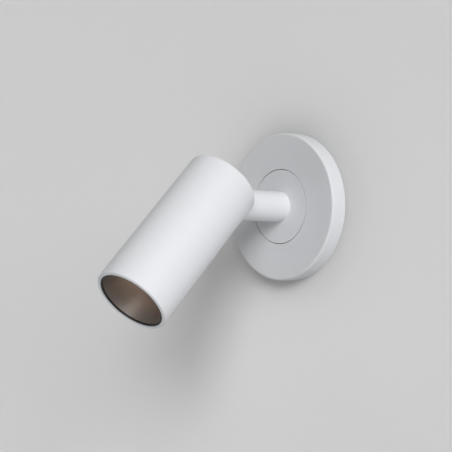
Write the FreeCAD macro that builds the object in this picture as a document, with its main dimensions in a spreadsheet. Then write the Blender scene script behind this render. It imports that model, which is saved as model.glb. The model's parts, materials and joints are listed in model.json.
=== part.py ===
"""Pivoting spotlight wall light, in millimetres.

World frame: the wall is the plane Y = 0 and the light stands out from it towards -Y, with +Z up
and +X to the right of someone who faces the wall. The origin is the middle of the wall plate's back.

The head is drawn straight, pointing along -Y with its tilt pivot at the origin, and its placement
then turns it down and carries it out to the end of the stem.
"""
import FreeCAD, Part
import math
import os
import re
import Sketcher

# name, value, what it is
SIZES = [
    ("plate_diameter", 100.0, "wall plate"),
    ("plate_thickness", 12.0, "wall plate, from the wall to its face"),
    ("plate_wall", 2.5, "wall plate's own wall"),
    ("plate_edge_radius", 2.0, "rounding of its front edge"),
    ("collar_wall", 2.0, "inner collar behind the plate's hole"),
    ("collar_depth", 5.0, "from the plate's face to the collar's end"),
    ("hook_groove_depth", 1.0, "groove inside the plate's rim for the hook"),
    ("hook_groove_width", 2.6, "its width"),
    ("disc_diameter", 50.0, "rotating disc in the middle of the plate"),
    ("disc_thickness", 4.0, "rotating disc"),
    ("disc_gap", 0.5, "gap round the disc"),
    ("seam_bevel", 0.3, "bevel of both edges of that gap"),
    ("bracket_gap", 3.5, "pressed mounting bracket's edge to the inside of the plate's rim"),
    ("bracket_sheet", 1.5, "its sheet"),
    ("hat_inset", 5.0, "from the disc's edge in to the bracket's raised middle"),
    ("fixing_spacing", 60.3, "between the two wall screws"),
    ("fixing_slot_width", 4.5, "slot for a wall screw"),
    ("fixing_slot_length", 10.0, "slot for a wall screw, end to end"),
    ("cable_entry_diameter", 10.0, "supply cable's hole in the bracket"),
    ("cable_entry_inset", 12.0, "from the bracket's edge in to that hole"),
    ("tab_width", 10.0, "bent tabs of the bracket"),
    ("tab_end", 8.0, "from the wall to the tabs' ends"),
    ("hook_width", 8.0, "hook on the upper tab"),
    ("hook_gap", 0.5, "hook to the bottom of its groove"),
    ("grub_diameter", 3.0, "grub screws"),
    ("grub_height", 4.0, "from the wall to the plate's grub screw"),
    ("grub_recess", 0.7, "grub screws' ends below the outside"),
    ("grub_socket", 1.5, "hexagon socket of the grub screws"),
    ("terminal_width", 26.0, "terminal block"),
    ("terminal_depth", 11.0, "terminal block, up and down"),
    ("terminal_height", 7.0, "terminal block, from the bracket"),
    ("terminal_inset", 9.0, "from the bracket's edge in to the middle of the block"),
    ("terminal_pitch", 8.0, "between its ways"),
    ("terminal_row", 3.0, "its screws from its middle line"),
    ("terminal_wire", 2.6, "wire holes"),
    ("terminal_wire_height", 2.5, "from the bracket to the wire holes"),
    ("terminal_screw", 3.0, "terminal screws"),
    ("terminal_screw_length", 2.2, "terminal screws"),
    ("terminal_slot_width", 0.6, "slot in a terminal screw"),
    ("terminal_slot_depth", 0.9, "slot in a terminal screw"),
    ("block_screw_head", 3.6, "screws that hold the block"),
    ("block_screw_shank", 2.4, "screws that hold the block"),
    ("block_screw_seat", 3.0, "from the bracket to their heads"),
    ("block_screw_head_height", 1.4, "their heads"),
    ("block_screw_cross", 2.1, "cross recess in their heads"),
    ("earth_inset", 10.0, "from the bracket's edge in to the earth screw"),
    ("earth_angle", 45.0, "earth screw round the bracket, degrees up from the side"),
    ("earth_head", 6.4, "earth screw's head"),
    ("earth_head_height", 2.0, "earth screw's head"),
    ("earth_cross", 3.8, "cross recess in its head"),
    ("earth_shank", 3.5, "earth screw's shank"),
    ("earth_washer", 8.0, "washer under the earth screw"),
    ("earth_washer_thickness", 0.6, "washer under the earth screw"),
    ("slack", 0.05, "running fit, on the radius"),
    ("thrust_gap", 0.1, "faces that turn on each other"),
    ("seat_gap", 0.1, "fixed fit, on the radius"),
    ("thrust_washer_thickness", 1.5, "plain washer the disc turns on"),
    ("thrust_washer_inset", 1.5, "from the stops' pin in to its edge"),
    ("nipple_diameter", 10.0, "hollow threaded tube through the swivel"),
    ("nipple_bore", 7.0, "its hole"),
    ("nipple_grip", 12.0, "its length inside the stem"),
    ("nipple_over", 0.5, "its end past the nut"),
    ("wave_washer_diameter", 18.0, "spring washer of the swivel"),
    ("wave_washer_thickness", 0.7, "the same washer"),
    ("swivel_nut_flats", 14.0, "thin nut of the swivel, across flats"),
    ("swivel_nut_thickness", 2.6, "the same nut"),
    ("stop_inset", 8.0, "from the disc's edge in to the swivel's stops"),
    ("stop_pin_diameter", 2.0, "turning stop"),
    ("stop_pin_depth", 2.0, "its length inside the disc"),
    ("stop_pin_reach", 1.2, "its length behind the disc"),
    ("stop_pip_diameter", 3.0, "fixed stop pressed in the bracket"),
    ("stop_pip_height", 1.2, "the same stop"),
    ("stem_diameter", 20.5, "stem"),
    ("pivot_reach", 77.5, "from the wall to the tilt pivot"),
    ("shoulder_reach", 11.0, "from the stem's shoulder to the pivot"),
    ("tongue_thickness", 9.2, "flat tongue at the stem's end"),
    ("tongue_radius", 9.0, "its rounded end"),
    ("stem_bore", 5.2, "lead's hole in the stem"),
    ("lead_diameter", 3.0, "inner lead"),
    ("lead_bend_radius", 2.2, "lead's bend out of the tongue"),
    ("lead_exit_to_pivot", 8.0, "from the lead's exit to the pivot"),
    ("lead_exit_diameter", 4.6, "lead's exit from the tongue"),
    ("lead_tail", 2.0, "lead past the tongue's edge"),
    ("rest_tilt", 45.0, "head below straight out, degrees"),
    ("head_diameter", 50.0, "lamp head"),
    ("head_length", 107.5, "lamp head"),
    ("head_wall", 2.4, "its side wall"),
    ("rear_wall", 3.0, "its closed end"),
    ("rear_edge_radius", 1.5, "rounding of the closed end"),
    ("mouth_edge_radius", 1.0, "rounding of the mouth"),
    ("rear_to_pivot", 19.5, "from the closed end to the pivot"),
    ("slot_gap", 0.5, "slot's side to the stem"),
    ("yoke_gap", 0.8, "tongue's side to a cheek"),
    ("cheek_thickness", 4.0, "yoke's cheeks"),
    ("cheek_radius", 10.0, "their rounded ends"),
    ("web_start", 10.7, "from the pivot to the yoke's web"),
    ("web_thickness", 2.0, "yoke's web"),
    ("web_width", 34.0, "yoke's web, side to side"),
    ("pivot_bolt_diameter", 5.0, "pivot bolt"),
    ("bolt_head_diameter", 9.0, "its head"),
    ("bolt_head_height", 2.8, "its head"),
    ("bolt_head_side", 1.1, "straight side of its head"),
    ("bolt_head_top", 6.0, "flat top of its head"),
    ("bolt_socket", 3.0, "its hexagon socket"),
    ("bolt_socket_depth", 1.7, "its hexagon socket"),
    ("bolt_over", 0.8, "its end past the nut"),
    ("pivot_nut_flats", 8.0, "pivot nut, across flats"),
    ("pivot_nut_thickness", 4.0, "pivot nut"),
    ("friction_washer_diameter", 16.0, "washers beside the tongue"),
    ("spring_washer_diameter", 10.0, "cupped washers under the nut"),
    ("spring_washer_sheet", 0.45, "their sheet"),
    ("spring_washer_cup", 0.15, "their cupping"),
    ("sink_length", 29.8, "heat sink"),
    ("sink_gap", 0.3, "heat sink to the head's wall"),
    ("sink_core", 18.0, "heat sink's core"),
    ("sink_rear_disc", 4.0, "its first disc"),
    ("sink_grooves", 5, "grooves between its fins"),
    ("sink_groove", 2.8, "width of a groove"),
    ("sink_pitch", 4.6, "groove to groove"),
    ("screw_shank", 3.0, "small screws in the head"),
    ("screw_head", 5.5, "their heads"),
    ("screw_head_height", 1.8, "their heads"),
    ("screw_cross", 3.3, "cross recess in the holder's screws"),
    ("screw_socket", 2.4, "hexagon socket in the yoke's screws"),
    ("screw_socket_depth", 1.1, "the same socket"),
    ("yoke_screw_x", 13.5, "yoke's screws from the axis"),
    ("yoke_screw_grip", 3.6, "their length in the heat sink"),
    ("lead_offset", 6.5, "lead from the head's axis"),
    ("lead_hole", 3.6, "lead's hole through the head's pieces"),
    ("lead_start", 8.7, "from the pivot to the head's lead"),
    ("head_grub_length", 6.0, "grub screw that holds the head's tube"),
    ("board_diameter", 34.0, "light source's board"),
    ("board_thickness", 1.6, "light source's board"),
    ("emitter_diameter", 9.0, "light source"),
    ("emitter_height", 1.2, "light source"),
    ("holder_bore", 16.0, "holder's hole"),
    ("holder_height", 4.4, "holder"),
    ("holder_screw_x", 14.2, "holder's screws from the axis"),
    ("holder_screw_grip", 3.6, "their length in the heat sink"),
    ("lens_diameter", 22.0, "frosted lens"),
    ("lens_thickness", 1.4, "frosted lens"),
    ("lens_seat_depth", 2.0, "its seat in the holder"),
    ("reflector_wall", 0.7, "reflector's wall"),
    ("reflector_throat", 19.0, "reflector's small opening"),
    ("reflector_foot", 26.0, "reflector's foot on the holder"),
    ("reflector_curve", 90.0, "radius of its curved side"),
    ("trim_ring_width", 0.9, "black ring round the reflector's edge"),
    ("trim_ring_depth", 1.0, "the same ring"),
    ("trim_ring_recess", 0.3, "ring below the mouth's rim"),
]

doc = FreeCAD.newDocument("wall_light")
sheet = doc.addObject("Spreadsheet::Sheet", "Sizes")
for row, (alias, value, note) in enumerate(SIZES, start=1):
    sheet.set(f"A{row}", note)
    sheet.set(f"B{row}", str(value))
    sheet.setAlias(f"B{row}", alias)
doc.recompute()

ALIASES = {alias for alias, value, note in SIZES}
OVERRUN = "1"          # how far a cut runs past the surface that it opens
CROSS_ARM = "0.24"     # width of a cross recess's arms, as a share of its size
CROSS_DEPTH = "0.4"    # its depth, as a share of its size
LIP_SLANT = "1.1"      # width of the reflector's slanted lip, as a share of its wall
PLANES = {"front": "XZ_Plane", "side": "YZ_Plane", "top": "XY_Plane"}
AXES = {"X": "X_Axis", "Y": "Y_Axis"}

# Stations along Y, from the wall outwards.
FACE = "(-plate_thickness)"
DISC_BACK = f"({FACE} + disc_thickness)"
HAT_FRONT = f"({DISC_BACK} + thrust_gap + thrust_washer_thickness)"
HAT_BACK = f"({HAT_FRONT} + bracket_sheet)"
WAVE_FRONT = f"({HAT_BACK} + thrust_gap)"
NUT_FRONT = f"({WAVE_FRONT} + wave_washer_thickness)"
NIPPLE_END = f"({NUT_FRONT} + swivel_nut_thickness + nipple_over)"
SHOULDER = "(shoulder_reach - pivot_reach)"
HOLE_RADIUS = "(disc_diameter / 2 + disc_gap)"
RIM_INSIDE = "(plate_diameter / 2 - plate_wall)"
BRACKET_EDGE = f"({RIM_INSIDE} - bracket_gap)"
TAB_INSIDE = f"({BRACKET_EDGE} - bracket_sheet)"
HAT_EDGE = "(disc_diameter / 2 - hat_inset)"
STOP_REACH = "(disc_diameter / 2 - stop_inset)"
ENTRY_HEIGHT = f"({BRACKET_EDGE} - cable_entry_inset)"
BLOCK_HEIGHT = f"(terminal_inset - {BRACKET_EDGE})"
EARTH_X = f"(({BRACKET_EDGE} - earth_inset) * cos(earth_angle))"
EARTH_Z = f"(({BRACKET_EDGE} - earth_inset) * sin(earth_angle))"

# Stations along the head, as Y in its own frame.
REAR = "rear_to_pivot"
MOUTH = "(rear_to_pivot - head_length)"
HEAD_INSIDE = "(head_diameter / 2 - head_wall)"
SINK_BACK = "(-web_start - web_thickness)"
SINK_FRONT = f"({SINK_BACK} - sink_length)"
BOARD_FRONT = f"({SINK_FRONT} - board_thickness)"
HOLDER_FRONT = f"({BOARD_FRONT} - holder_height)"
LENS_BACK = f"({HOLDER_FRONT} + lens_seat_depth)"
RING_FRONT = f"({MOUTH} + trim_ring_recess)"
RING_BACK = f"({RING_FRONT} + trim_ring_depth)"
RING_INSIDE = f"({HEAD_INSIDE} - seat_gap - trim_ring_width)"
BOWL_EDGE = f"({HEAD_INSIDE} - 2 * seat_gap - {LIP_SLANT} * reflector_wall)"
CHEEK_INSIDE = "(tongue_thickness / 2 + yoke_gap)"
CHEEK_OUTSIDE = f"({CHEEK_INSIDE} + cheek_thickness)"
SPRING_STACK = "(2 * (spring_washer_sheet + spring_washer_cup))"
NUT_INSIDE = f"({CHEEK_OUTSIDE} + {SPRING_STACK})"
NUT_OUTSIDE = f"({NUT_INSIDE} + pivot_nut_thickness)"
SCREW_HOLE = "(screw_shank + 2 * seat_gap)"
GRUB_HOLE = "(grub_diameter + 2 * seat_gap)"
SINK_LAST_DISC = "(sink_length - sink_rear_disc - (sink_grooves - 1) * sink_pitch - sink_groove)"
HEAD_GRUB = f"({SINK_FRONT} + {SINK_LAST_DISC} / 2)"


def cells(text):
    """The same expression with every size pointing at its cell."""
    return re.sub(r"[a-z_]+[a-z]", lambda m: "Sizes." + m[0] if m[0] in ALIASES else m[0], text)


def number(text):
    return float(sheet.evalExpression(cells(text)))


class Piece:
    """A body of the light and the operations that its pieces are made by."""

    def __init__(self, name, head=False):
        self.body = doc.addObject("PartDesign::Body", name)
        self.body.Label = name
        self.last = None
        self.count = 0
        if head:
            start = FreeCAD.Vector(0, -number("pivot_reach"), 0)
            turn = FreeCAD.Rotation(FreeCAD.Vector(1, 0, 0), number("rest_tilt"))
            self.body.Placement = FreeCAD.Placement(start, turn)
            self.body.setExpression("Placement.Base.y", cells("-pivot_reach"))
            self.body.setExpression("Placement.Rotation.Angle", cells("rest_tilt"))

    def origin(self, role):
        return next(f for f in self.body.Origin.OriginFeatures if f.Role == role)

    def add(self, kind):
        self.count += 1
        return self.body.newObject(f"PartDesign::{kind}", f"{self.body.Label}_{kind}_{self.count}")

    def sketch(self, plane, offset="0"):
        """A sketch on an origin plane, moved along the plane's own normal by the offset."""
        self.count += 1
        made = self.body.newObject("Sketcher::SketchObject", f"{self.body.Label}_sketch_{self.count}")
        made.AttachmentSupport = [(self.origin(PLANES[plane]), "")]
        made.MapMode = "FlatFace"
        made.AttachmentOffset = FreeCAD.Placement(FreeCAD.Vector(0, 0, number(offset)), FreeCAD.Rotation())
        made.setExpression("AttachmentOffset.Base.z", cells(offset))
        return made

    def finish(self, feature, grows):
        """Recompute the feature and make sure that it added or took away material."""
        before = self.last.Shape.Volume if self.last else 0.0
        doc.recompute()
        after = feature.Shape.Volume
        if (after > before) != grows or math.isclose(after, before, rel_tol=1e-9):
            raise RuntimeError(f"{feature.Name} changed nothing: {before:.3f} to {after:.3f}")
        self.last = feature
        return feature

    def revolve(self, points, axis="Y", grows=True):
        drawn = self.sketch("top")
        polygon(drawn, points)
        made = self.add("Revolution" if grows else "Groove")
        made.Profile = drawn
        made.ReferenceAxis = (self.origin(AXES[axis]), [""])
        made.Angle = 360
        return self.finish(made, grows)

    def pad(self, drawn, length, symmetric=False, backwards=False):
        made = self.add("Pad")
        made.Profile = drawn
        made.SideType = "Symmetric" if symmetric else "One side"
        made.Reversed = backwards
        made.setExpression("Length", cells(length))
        return self.finish(made, True)

    def pocket(self, drawn, length=None, symmetric=False, backwards=False):
        made = self.add("Pocket")
        made.Profile = drawn
        made.SideType = "Symmetric" if symmetric else "One side"
        made.Reversed = backwards
        if length is None:
            made.Type = "ThroughAll"
        else:
            made.setExpression("Length", cells(length))
        return self.finish(made, False)

    def round(self, radius, edges):
        """Fillet the circular edges about Y that have these radii and stations."""
        self.dress("Fillet", "Radius", radius, edges)

    def bevel(self, size, edges):
        """Chamfer such edges instead."""
        self.dress("Chamfer", "Size", size, edges)

    def dress(self, kind, field, size, edges):
        wanted = [(number(r), number(y)) for r, y in edges]
        names = []
        for index, edge in enumerate(self.last.Shape.Edges, start=1):
            if not isinstance(edge.Curve, Part.Circle):
                continue
            if abs(edge.Curve.Axis.y) < 0.999:
                continue
            for r, y in wanted:
                if abs(edge.Curve.Radius - r) < 1e-4 and abs(edge.Curve.Center.y - y) < 1e-4:
                    names.append(f"Edge{index}")
        made = self.add(kind)
        made.Base = (self.last, names)
        made.setExpression(field, cells(size))
        self.finish(made, False)


def place(drawn, shape, point, x, y):
    """Hold one point of a sketch's shape at these coordinates."""
    for kind, text in (("DistanceX", x), ("DistanceY", y)):
        index = drawn.addConstraint(Sketcher.Constraint(kind, -1, 1, shape, point, number(text)))
        drawn.setExpression(f"Constraints[{index}]", cells(text))


def at(x, y):
    return FreeCAD.Vector(number(x), number(y), 0)


def polygon(drawn, points):
    """A closed outline through the points, each held by its two coordinates."""
    first = drawn.GeometryCount
    count = len(points)
    for index in range(count):
        start = at(*points[index])
        end = at(*points[(index + 1) % count])
        drawn.addGeometry(Part.LineSegment(start, end), False)
    for index in range(count):
        after = first + (index + 1) % count
        drawn.addConstraint(Sketcher.Constraint("Coincident", first + index, 2, after, 1))
    for index, (x, y) in enumerate(points):
        place(drawn, first + index, 1, x, y)


def rectangle(drawn, x0, y0, x1, y1):
    polygon(drawn, [(x0, y0), (x1, y0), (x1, y1), (x0, y1)])


def hexagon(drawn, flats, x="0", y="0"):
    reach = f"{flats} / sqrt(3)"
    turns = range(30, 390, 60)
    polygon(drawn, [(f"{x} + {reach} * cos({turn})", f"{y} + {reach} * sin({turn})") for turn in turns])


def circle(drawn, diameter, x="0", y="0"):
    normal = FreeCAD.Vector(0, 0, 1)
    index = drawn.addGeometry(Part.Circle(at(x, y), normal, number(diameter) / 2), False)
    place(drawn, index, 3, x, y)
    held = drawn.addConstraint(Sketcher.Constraint("Diameter", index, number(diameter)))
    drawn.setExpression(f"Constraints[{held}]", cells(diameter))


def slot(drawn, x, y, length, width):
    """A round-ended slot that runs along the sketch's first axis."""
    normal = FreeCAD.Vector(0, 0, 1)
    radius = number(width) / 2
    left = f"({x} - ({length} - {width}) / 2)"
    right = f"({x} + ({length} - {width}) / 2)"
    up = FreeCAD.Vector(0, radius, 0)
    turns = {left: (math.pi / 2, 3 * math.pi / 2), right: (-math.pi / 2, math.pi / 2)}
    first = drawn.GeometryCount
    for centre, (start, end) in turns.items():
        drawn.addGeometry(Part.ArcOfCircle(Part.Circle(at(centre, y), normal, radius), start, end), False)
    drawn.addGeometry(Part.LineSegment(at(left, y) - up, at(right, y) - up), False)
    drawn.addGeometry(Part.LineSegment(at(right, y) + up, at(left, y) + up), False)
    joints = [(0, 2, 2, 1), (2, 2, 1, 1), (1, 2, 3, 1), (3, 2, 0, 1)]
    for a, a_end, b, b_end in joints:
        drawn.addConstraint(Sketcher.Constraint("Tangent", first + a, a_end, first + b, b_end))
    place(drawn, first, 3, left, y)
    index = drawn.addConstraint(Sketcher.Constraint("DistanceX", -1, 1, first + 1, 3, number(right)))
    drawn.setExpression(f"Constraints[{index}]", cells(right))
    index = drawn.addConstraint(Sketcher.Constraint("Radius", first, radius))
    drawn.setExpression(f"Constraints[{index}]", cells(f"{width} / 2"))


def ring(name, inside, outside, back, front, head=False):
    """A plain ring about Y between two radii and two stations."""
    piece = Piece(name, head)
    piece.revolve([(inside, back), (outside, back), (outside, front), (inside, front)])
    return piece


# ---- fixed to the wall ----

def wall_plate():
    """Hollow round cover with a collar behind its hole and a groove inside its rim."""
    piece = Piece("wall_plate")
    rim = "plate_diameter / 2"
    collar = f"{HOLE_RADIUS} + collar_wall"
    groove = f"{RIM_INSIDE} + hook_groove_depth"
    inside = f"{FACE} + plate_wall"
    piece.revolve([
        (HOLE_RADIUS, FACE), (rim, FACE), (rim, "0"), (RIM_INSIDE, "0"),
        (RIM_INSIDE, "hook_groove_width - tab_end - hook_gap"),
        (groove, "hook_groove_width - tab_end - hook_gap"),
        (groove, "-tab_end - hook_gap"), (RIM_INSIDE, "-tab_end - hook_gap"),
        (RIM_INSIDE, inside), (collar, inside),
        (collar, f"{FACE} + collar_depth"), (HOLE_RADIUS, f"{FACE} + collar_depth"),
    ])
    piece.round("plate_edge_radius", [(rim, FACE)])
    piece.bevel("seam_bevel", [(HOLE_RADIUS, FACE)])
    hole = piece.sketch("top")
    circle(hole, GRUB_HOLE, "0", "-grub_height")
    piece.pocket(hole)


def mounting_bracket():
    """Pressed round bracket: raised middle, two slots, cable hole, two bent tabs and a stop."""
    piece = Piece("mounting_bracket")
    bore = "nipple_diameter / 2 + slack"
    inside = f"{HAT_EDGE} - bracket_sheet"
    piece.revolve([
        (bore, HAT_FRONT), (HAT_EDGE, HAT_FRONT), (HAT_EDGE, "-bracket_sheet"),
        (BRACKET_EDGE, "-bracket_sheet"), (BRACKET_EDGE, "0"), (inside, "0"), (inside, HAT_BACK),
        (bore, HAT_BACK),
    ])
    for side in ("", "-"):
        tab = piece.sketch("top", f"{side}({TAB_INSIDE} + bracket_sheet / 2)")
        rectangle(tab, "-tab_width / 2", "-tab_end", "tab_width / 2", "-bracket_sheet / 2")
        piece.pad(tab, "bracket_sheet", symmetric=True)
    hook = piece.sketch("top", BRACKET_EDGE)
    rectangle(hook, "-hook_width / 2", "-tab_end", "hook_width / 2", "bracket_sheet - tab_end")
    piece.pad(hook, "bracket_gap + hook_groove_depth - hook_gap")
    stop = piece.sketch("front", f"-{HAT_FRONT}")
    circle(stop, "stop_pip_diameter", "0", f"-{STOP_REACH}")
    piece.pad(stop, "stop_pip_height")
    holes = piece.sketch("front")
    for side in ("", "-"):
        slot(holes, f"{side}(fixing_spacing / 2)", "0", "fixing_slot_length", "fixing_slot_width")
        block_x = f"{side}(terminal_pitch / 2)"
        circle(holes, "block_screw_shank + 2 * seat_gap", block_x, BLOCK_HEIGHT)
    circle(holes, "cable_entry_diameter", "0", ENTRY_HEIGHT)
    circle(holes, "earth_shank + 2 * seat_gap", EARTH_X, EARTH_Z)
    piece.pocket(holes, symmetric=True)
    hole = piece.sketch("top")
    circle(hole, GRUB_HOLE, "0", "-grub_height")
    piece.pocket(hole)


def grub_screw(piece, y, outside, length):
    """A headless screw along Z below the axis, its socket end outwards."""
    shank = piece.sketch("top", f"-({outside} - grub_recess)")
    circle(shank, "grub_diameter", "0", y)
    piece.pad(shank, length)
    socket = piece.sketch("top", f"-({outside} - grub_recess)")
    hexagon(socket, "grub_socket", "0", y)
    piece.pocket(socket, "grub_socket", backwards=True)


def plate_grub_screw():
    piece = Piece("plate_grub_screw")
    length = f"plate_diameter / 2 - grub_recess - {TAB_INSIDE} + bracket_sheet / 2"
    grub_screw(piece, "-grub_height", "plate_diameter / 2", length)


def terminal_ways():
    """Where the ways of the terminal block stand, as places along X."""
    return ["-terminal_pitch", "0", "terminal_pitch"]


def terminal_block():
    """Three-way block with wire holes, screw wells and two wells for its own screws."""
    piece = Piece("terminal_block")
    base = piece.sketch("front", "bracket_sheet")
    low = f"{BLOCK_HEIGHT} - terminal_depth / 2"
    high = f"{BLOCK_HEIGHT} + terminal_depth / 2"
    rectangle(base, "-terminal_width / 2", low, "terminal_width / 2", high)
    piece.pad(base, "terminal_height")
    wires = piece.sketch("top", BLOCK_HEIGHT)
    for x in terminal_ways():
        circle(wires, "terminal_wire", x, "-bracket_sheet - terminal_wire_height")
    piece.pocket(wires, symmetric=True)
    wells = piece.sketch("front", "bracket_sheet + terminal_height")
    for x in terminal_ways():
        for side in ("-", "+"):
            circle(wells, "terminal_screw + 2 * seat_gap", x, f"{BLOCK_HEIGHT} {side} terminal_row")
    piece.pocket(wells, "terminal_height - terminal_wire_height")
    own = piece.sketch("front", "bracket_sheet + terminal_height")
    for side in ("", "-"):
        x = f"{side}(terminal_pitch / 2)"
        circle(own, "block_screw_head + 2 * seat_gap", x, BLOCK_HEIGHT)
    piece.pocket(own, "terminal_height - block_screw_seat")
    through = piece.sketch("front", "bracket_sheet")
    for side in ("", "-"):
        x = f"{side}(terminal_pitch / 2)"
        circle(through, "block_screw_shank + 2 * seat_gap", x, BLOCK_HEIGHT)
    piece.pocket(through, backwards=True)


def terminal_screws():
    """Six slotted screws, each in its well over a wire hole."""
    piece = Piece("terminal_screws")
    bottom = "bracket_sheet + terminal_wire_height + terminal_wire / 2 + seat_gap"
    shanks = piece.sketch("front", bottom)
    for x in terminal_ways():
        for side in ("-", "+"):
            circle(shanks, "terminal_screw", x, f"{BLOCK_HEIGHT} {side} terminal_row")
    piece.pad(shanks, "terminal_screw_length")
    slots = piece.sketch("front", f"{bottom} + terminal_screw_length")
    for x in terminal_ways():
        for side in ("-", "+"):
            z = f"{BLOCK_HEIGHT} {side} terminal_row"
            half = f"(terminal_screw / 2 + {OVERRUN})"
            thin = "terminal_slot_width / 2"
            rectangle(slots, f"{x} - {half}", f"{z} - {thin}", f"{x} + {half}", f"{z} + {thin}")
    piece.pocket(slots, "terminal_slot_depth")


def headed_screws(piece, places, seat, shank, shank_length, head, head_height):
    """Screws along Y that point at the wall, their heads' undersides at the seat (a distance out)."""
    shanks = piece.sketch("front", seat)
    for x, z in places:
        circle(shanks, shank, x, z)
    piece.pad(shanks, shank_length, backwards=True)
    heads = piece.sketch("front", seat)
    for x, z in places:
        circle(heads, head, x, z)
    piece.pad(heads, head_height)


def cross_recess(piece, places, top, size):
    """A cross cut into the heads from the top (a distance out)."""
    arm = f"{size} / 2"
    half = f"{size} / 2 * {CROSS_ARM}"
    for along, across in ((arm, half), (half, arm)):
        cut = piece.sketch("front", top)
        for x, z in places:
            rectangle(cut, f"{x} - {along}", f"{z} - {across}", f"{x} + {along}", f"{z} + {across}")
        piece.pocket(cut, f"{size} * {CROSS_DEPTH}")


def terminal_fixing_screws():
    piece = Piece("terminal_fixing_screws")
    places = [("terminal_pitch / 2", BLOCK_HEIGHT), ("-terminal_pitch / 2", BLOCK_HEIGHT)]
    seat = "bracket_sheet + block_screw_seat"
    headed_screws(piece, places, seat, "block_screw_shank", f"{seat} - seat_gap",
                  "block_screw_head", "block_screw_head_height")
    cross_recess(piece, places, f"{seat} + block_screw_head_height", "block_screw_cross")


def earth_screw():
    piece = Piece("earth_screw")
    places = [(EARTH_X, EARTH_Z)]
    seat = "bracket_sheet + earth_washer_thickness"
    headed_screws(piece, places, seat, "earth_shank", f"{seat} - seat_gap", "earth_head", "earth_head_height")
    cross_recess(piece, places, f"{seat} + earth_head_height", "earth_cross")


def earth_washer():
    piece = Piece("earth_washer")
    flat = piece.sketch("front", "bracket_sheet")
    circle(flat, "earth_washer", EARTH_X, EARTH_Z)
    circle(flat, "earth_shank + 2 * seat_gap", EARTH_X, EARTH_Z)
    piece.pad(flat, "earth_washer_thickness")


def thrust_washer():
    edge = f"{STOP_REACH} - stop_pin_diameter / 2 - thrust_washer_inset"
    ring("thrust_washer", "nipple_diameter / 2 + seat_gap", edge,
         HAT_FRONT, f"{HAT_FRONT} - thrust_washer_thickness")


# ---- turns with the stem ----

def swivel_disc():
    """Disc that lies flush in the plate's hole, bored for the nipple and the stop pin."""
    piece = ring("swivel_disc", "nipple_diameter / 2 + slack", "disc_diameter / 2", DISC_BACK, FACE)
    piece.bevel("seam_bevel", [("disc_diameter / 2", FACE)])
    hole = piece.sketch("front", f"-{DISC_BACK}")
    circle(hole, "stop_pin_diameter + 2 * slack", "0", STOP_REACH)
    piece.pocket(hole, "stop_pin_depth + seat_gap", backwards=True)


def stop_pin():
    piece = Piece("stop_pin")
    shank = piece.sketch("front", f"-{DISC_BACK} - stop_pin_reach")
    circle(shank, "stop_pin_diameter", "0", STOP_REACH)
    piece.pad(shank, "stop_pin_reach + stop_pin_depth")


def swivel_nipple():
    ring("swivel_nipple", "nipple_bore / 2", "nipple_diameter / 2", NIPPLE_END, f"{FACE} - nipple_grip")


def wave_washer():
    ring("wave_washer", "nipple_diameter / 2 + seat_gap", "wave_washer_diameter / 2",
         WAVE_FRONT, f"{WAVE_FRONT} + wave_washer_thickness")


def swivel_nut():
    piece = Piece("swivel_nut")
    body = piece.sketch("front", f"-{NUT_FRONT}")
    hexagon(body, "swivel_nut_flats")
    circle(body, "nipple_diameter + 2 * slack")
    piece.pad(body, "swivel_nut_thickness", backwards=True)


def stem():
    """Round stem with a blind socket for the nipple, a lead bore, and a flat tongue at its end."""
    piece = Piece("stem")
    outside = "stem_diameter / 2"
    socket = "nipple_diameter / 2 + slack"
    socket_end = f"{FACE} - nipple_grip - seat_gap"
    piece.revolve([
        (socket, FACE), (outside, FACE), (outside, SHOULDER), ("stem_bore / 2", SHOULDER),
        ("stem_bore / 2", socket_end), (socket, socket_end),
    ])
    tongue = piece.sketch("side")
    rectangle(tongue, "-pivot_reach", "-tongue_radius", SHOULDER, "tongue_radius")
    piece.pad(tongue, "tongue_thickness", symmetric=True)
    tip = piece.sketch("side")
    circle(tip, "2 * tongue_radius", "-pivot_reach", "0")
    piece.pad(tip, "tongue_thickness", symmetric=True)
    bore = piece.sketch("front", f"-{SHOULDER}")
    circle(bore, "stem_bore")
    piece.pocket(bore, "shoulder_reach - lead_exit_to_pivot + stem_bore / 2", backwards=True)
    leave = piece.sketch("top")
    circle(leave, "lead_exit_diameter", "0", "lead_exit_to_pivot - pivot_reach")
    piece.pocket(leave, backwards=True)
    pivot = piece.sketch("side")
    circle(pivot, "pivot_bolt_diameter + 2 * slack", "-pivot_reach", "0")
    piece.pocket(pivot, symmetric=True)


def stem_lead():
    """Round lead along the stem's bore, bent up and out of the tongue."""
    piece = Piece("stem_lead")
    exit_y = "(lead_exit_to_pivot - pivot_reach)"
    straight = piece.sketch("front", f"-{NIPPLE_END}")
    circle(straight, "lead_diameter")
    piece.pad(straight, f"{NIPPLE_END} - {exit_y} - lead_bend_radius")
    bend = piece.sketch("front", f"-{exit_y} - lead_bend_radius")
    circle(bend, "lead_diameter")
    turn = piece.add("Revolution")
    turn.Profile = bend
    axis = bend.addGeometry(Part.LineSegment(at("-1", "lead_bend_radius"), at("1", "lead_bend_radius")), True)
    place(bend, axis, 1, "-1", "lead_bend_radius")
    place(bend, axis, 2, "1", "lead_bend_radius")
    turn.ReferenceAxis = (bend, ["Axis0"])
    turn.Angle = 90
    turn.Reversed = True
    piece.finish(turn, True)
    tail = piece.sketch("top", "lead_bend_radius")
    circle(tail, "lead_diameter", "0", exit_y)
    piece.pad(tail, "tongue_radius - lead_bend_radius + lead_tail")


# ---- tilts with the head ----

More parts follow.
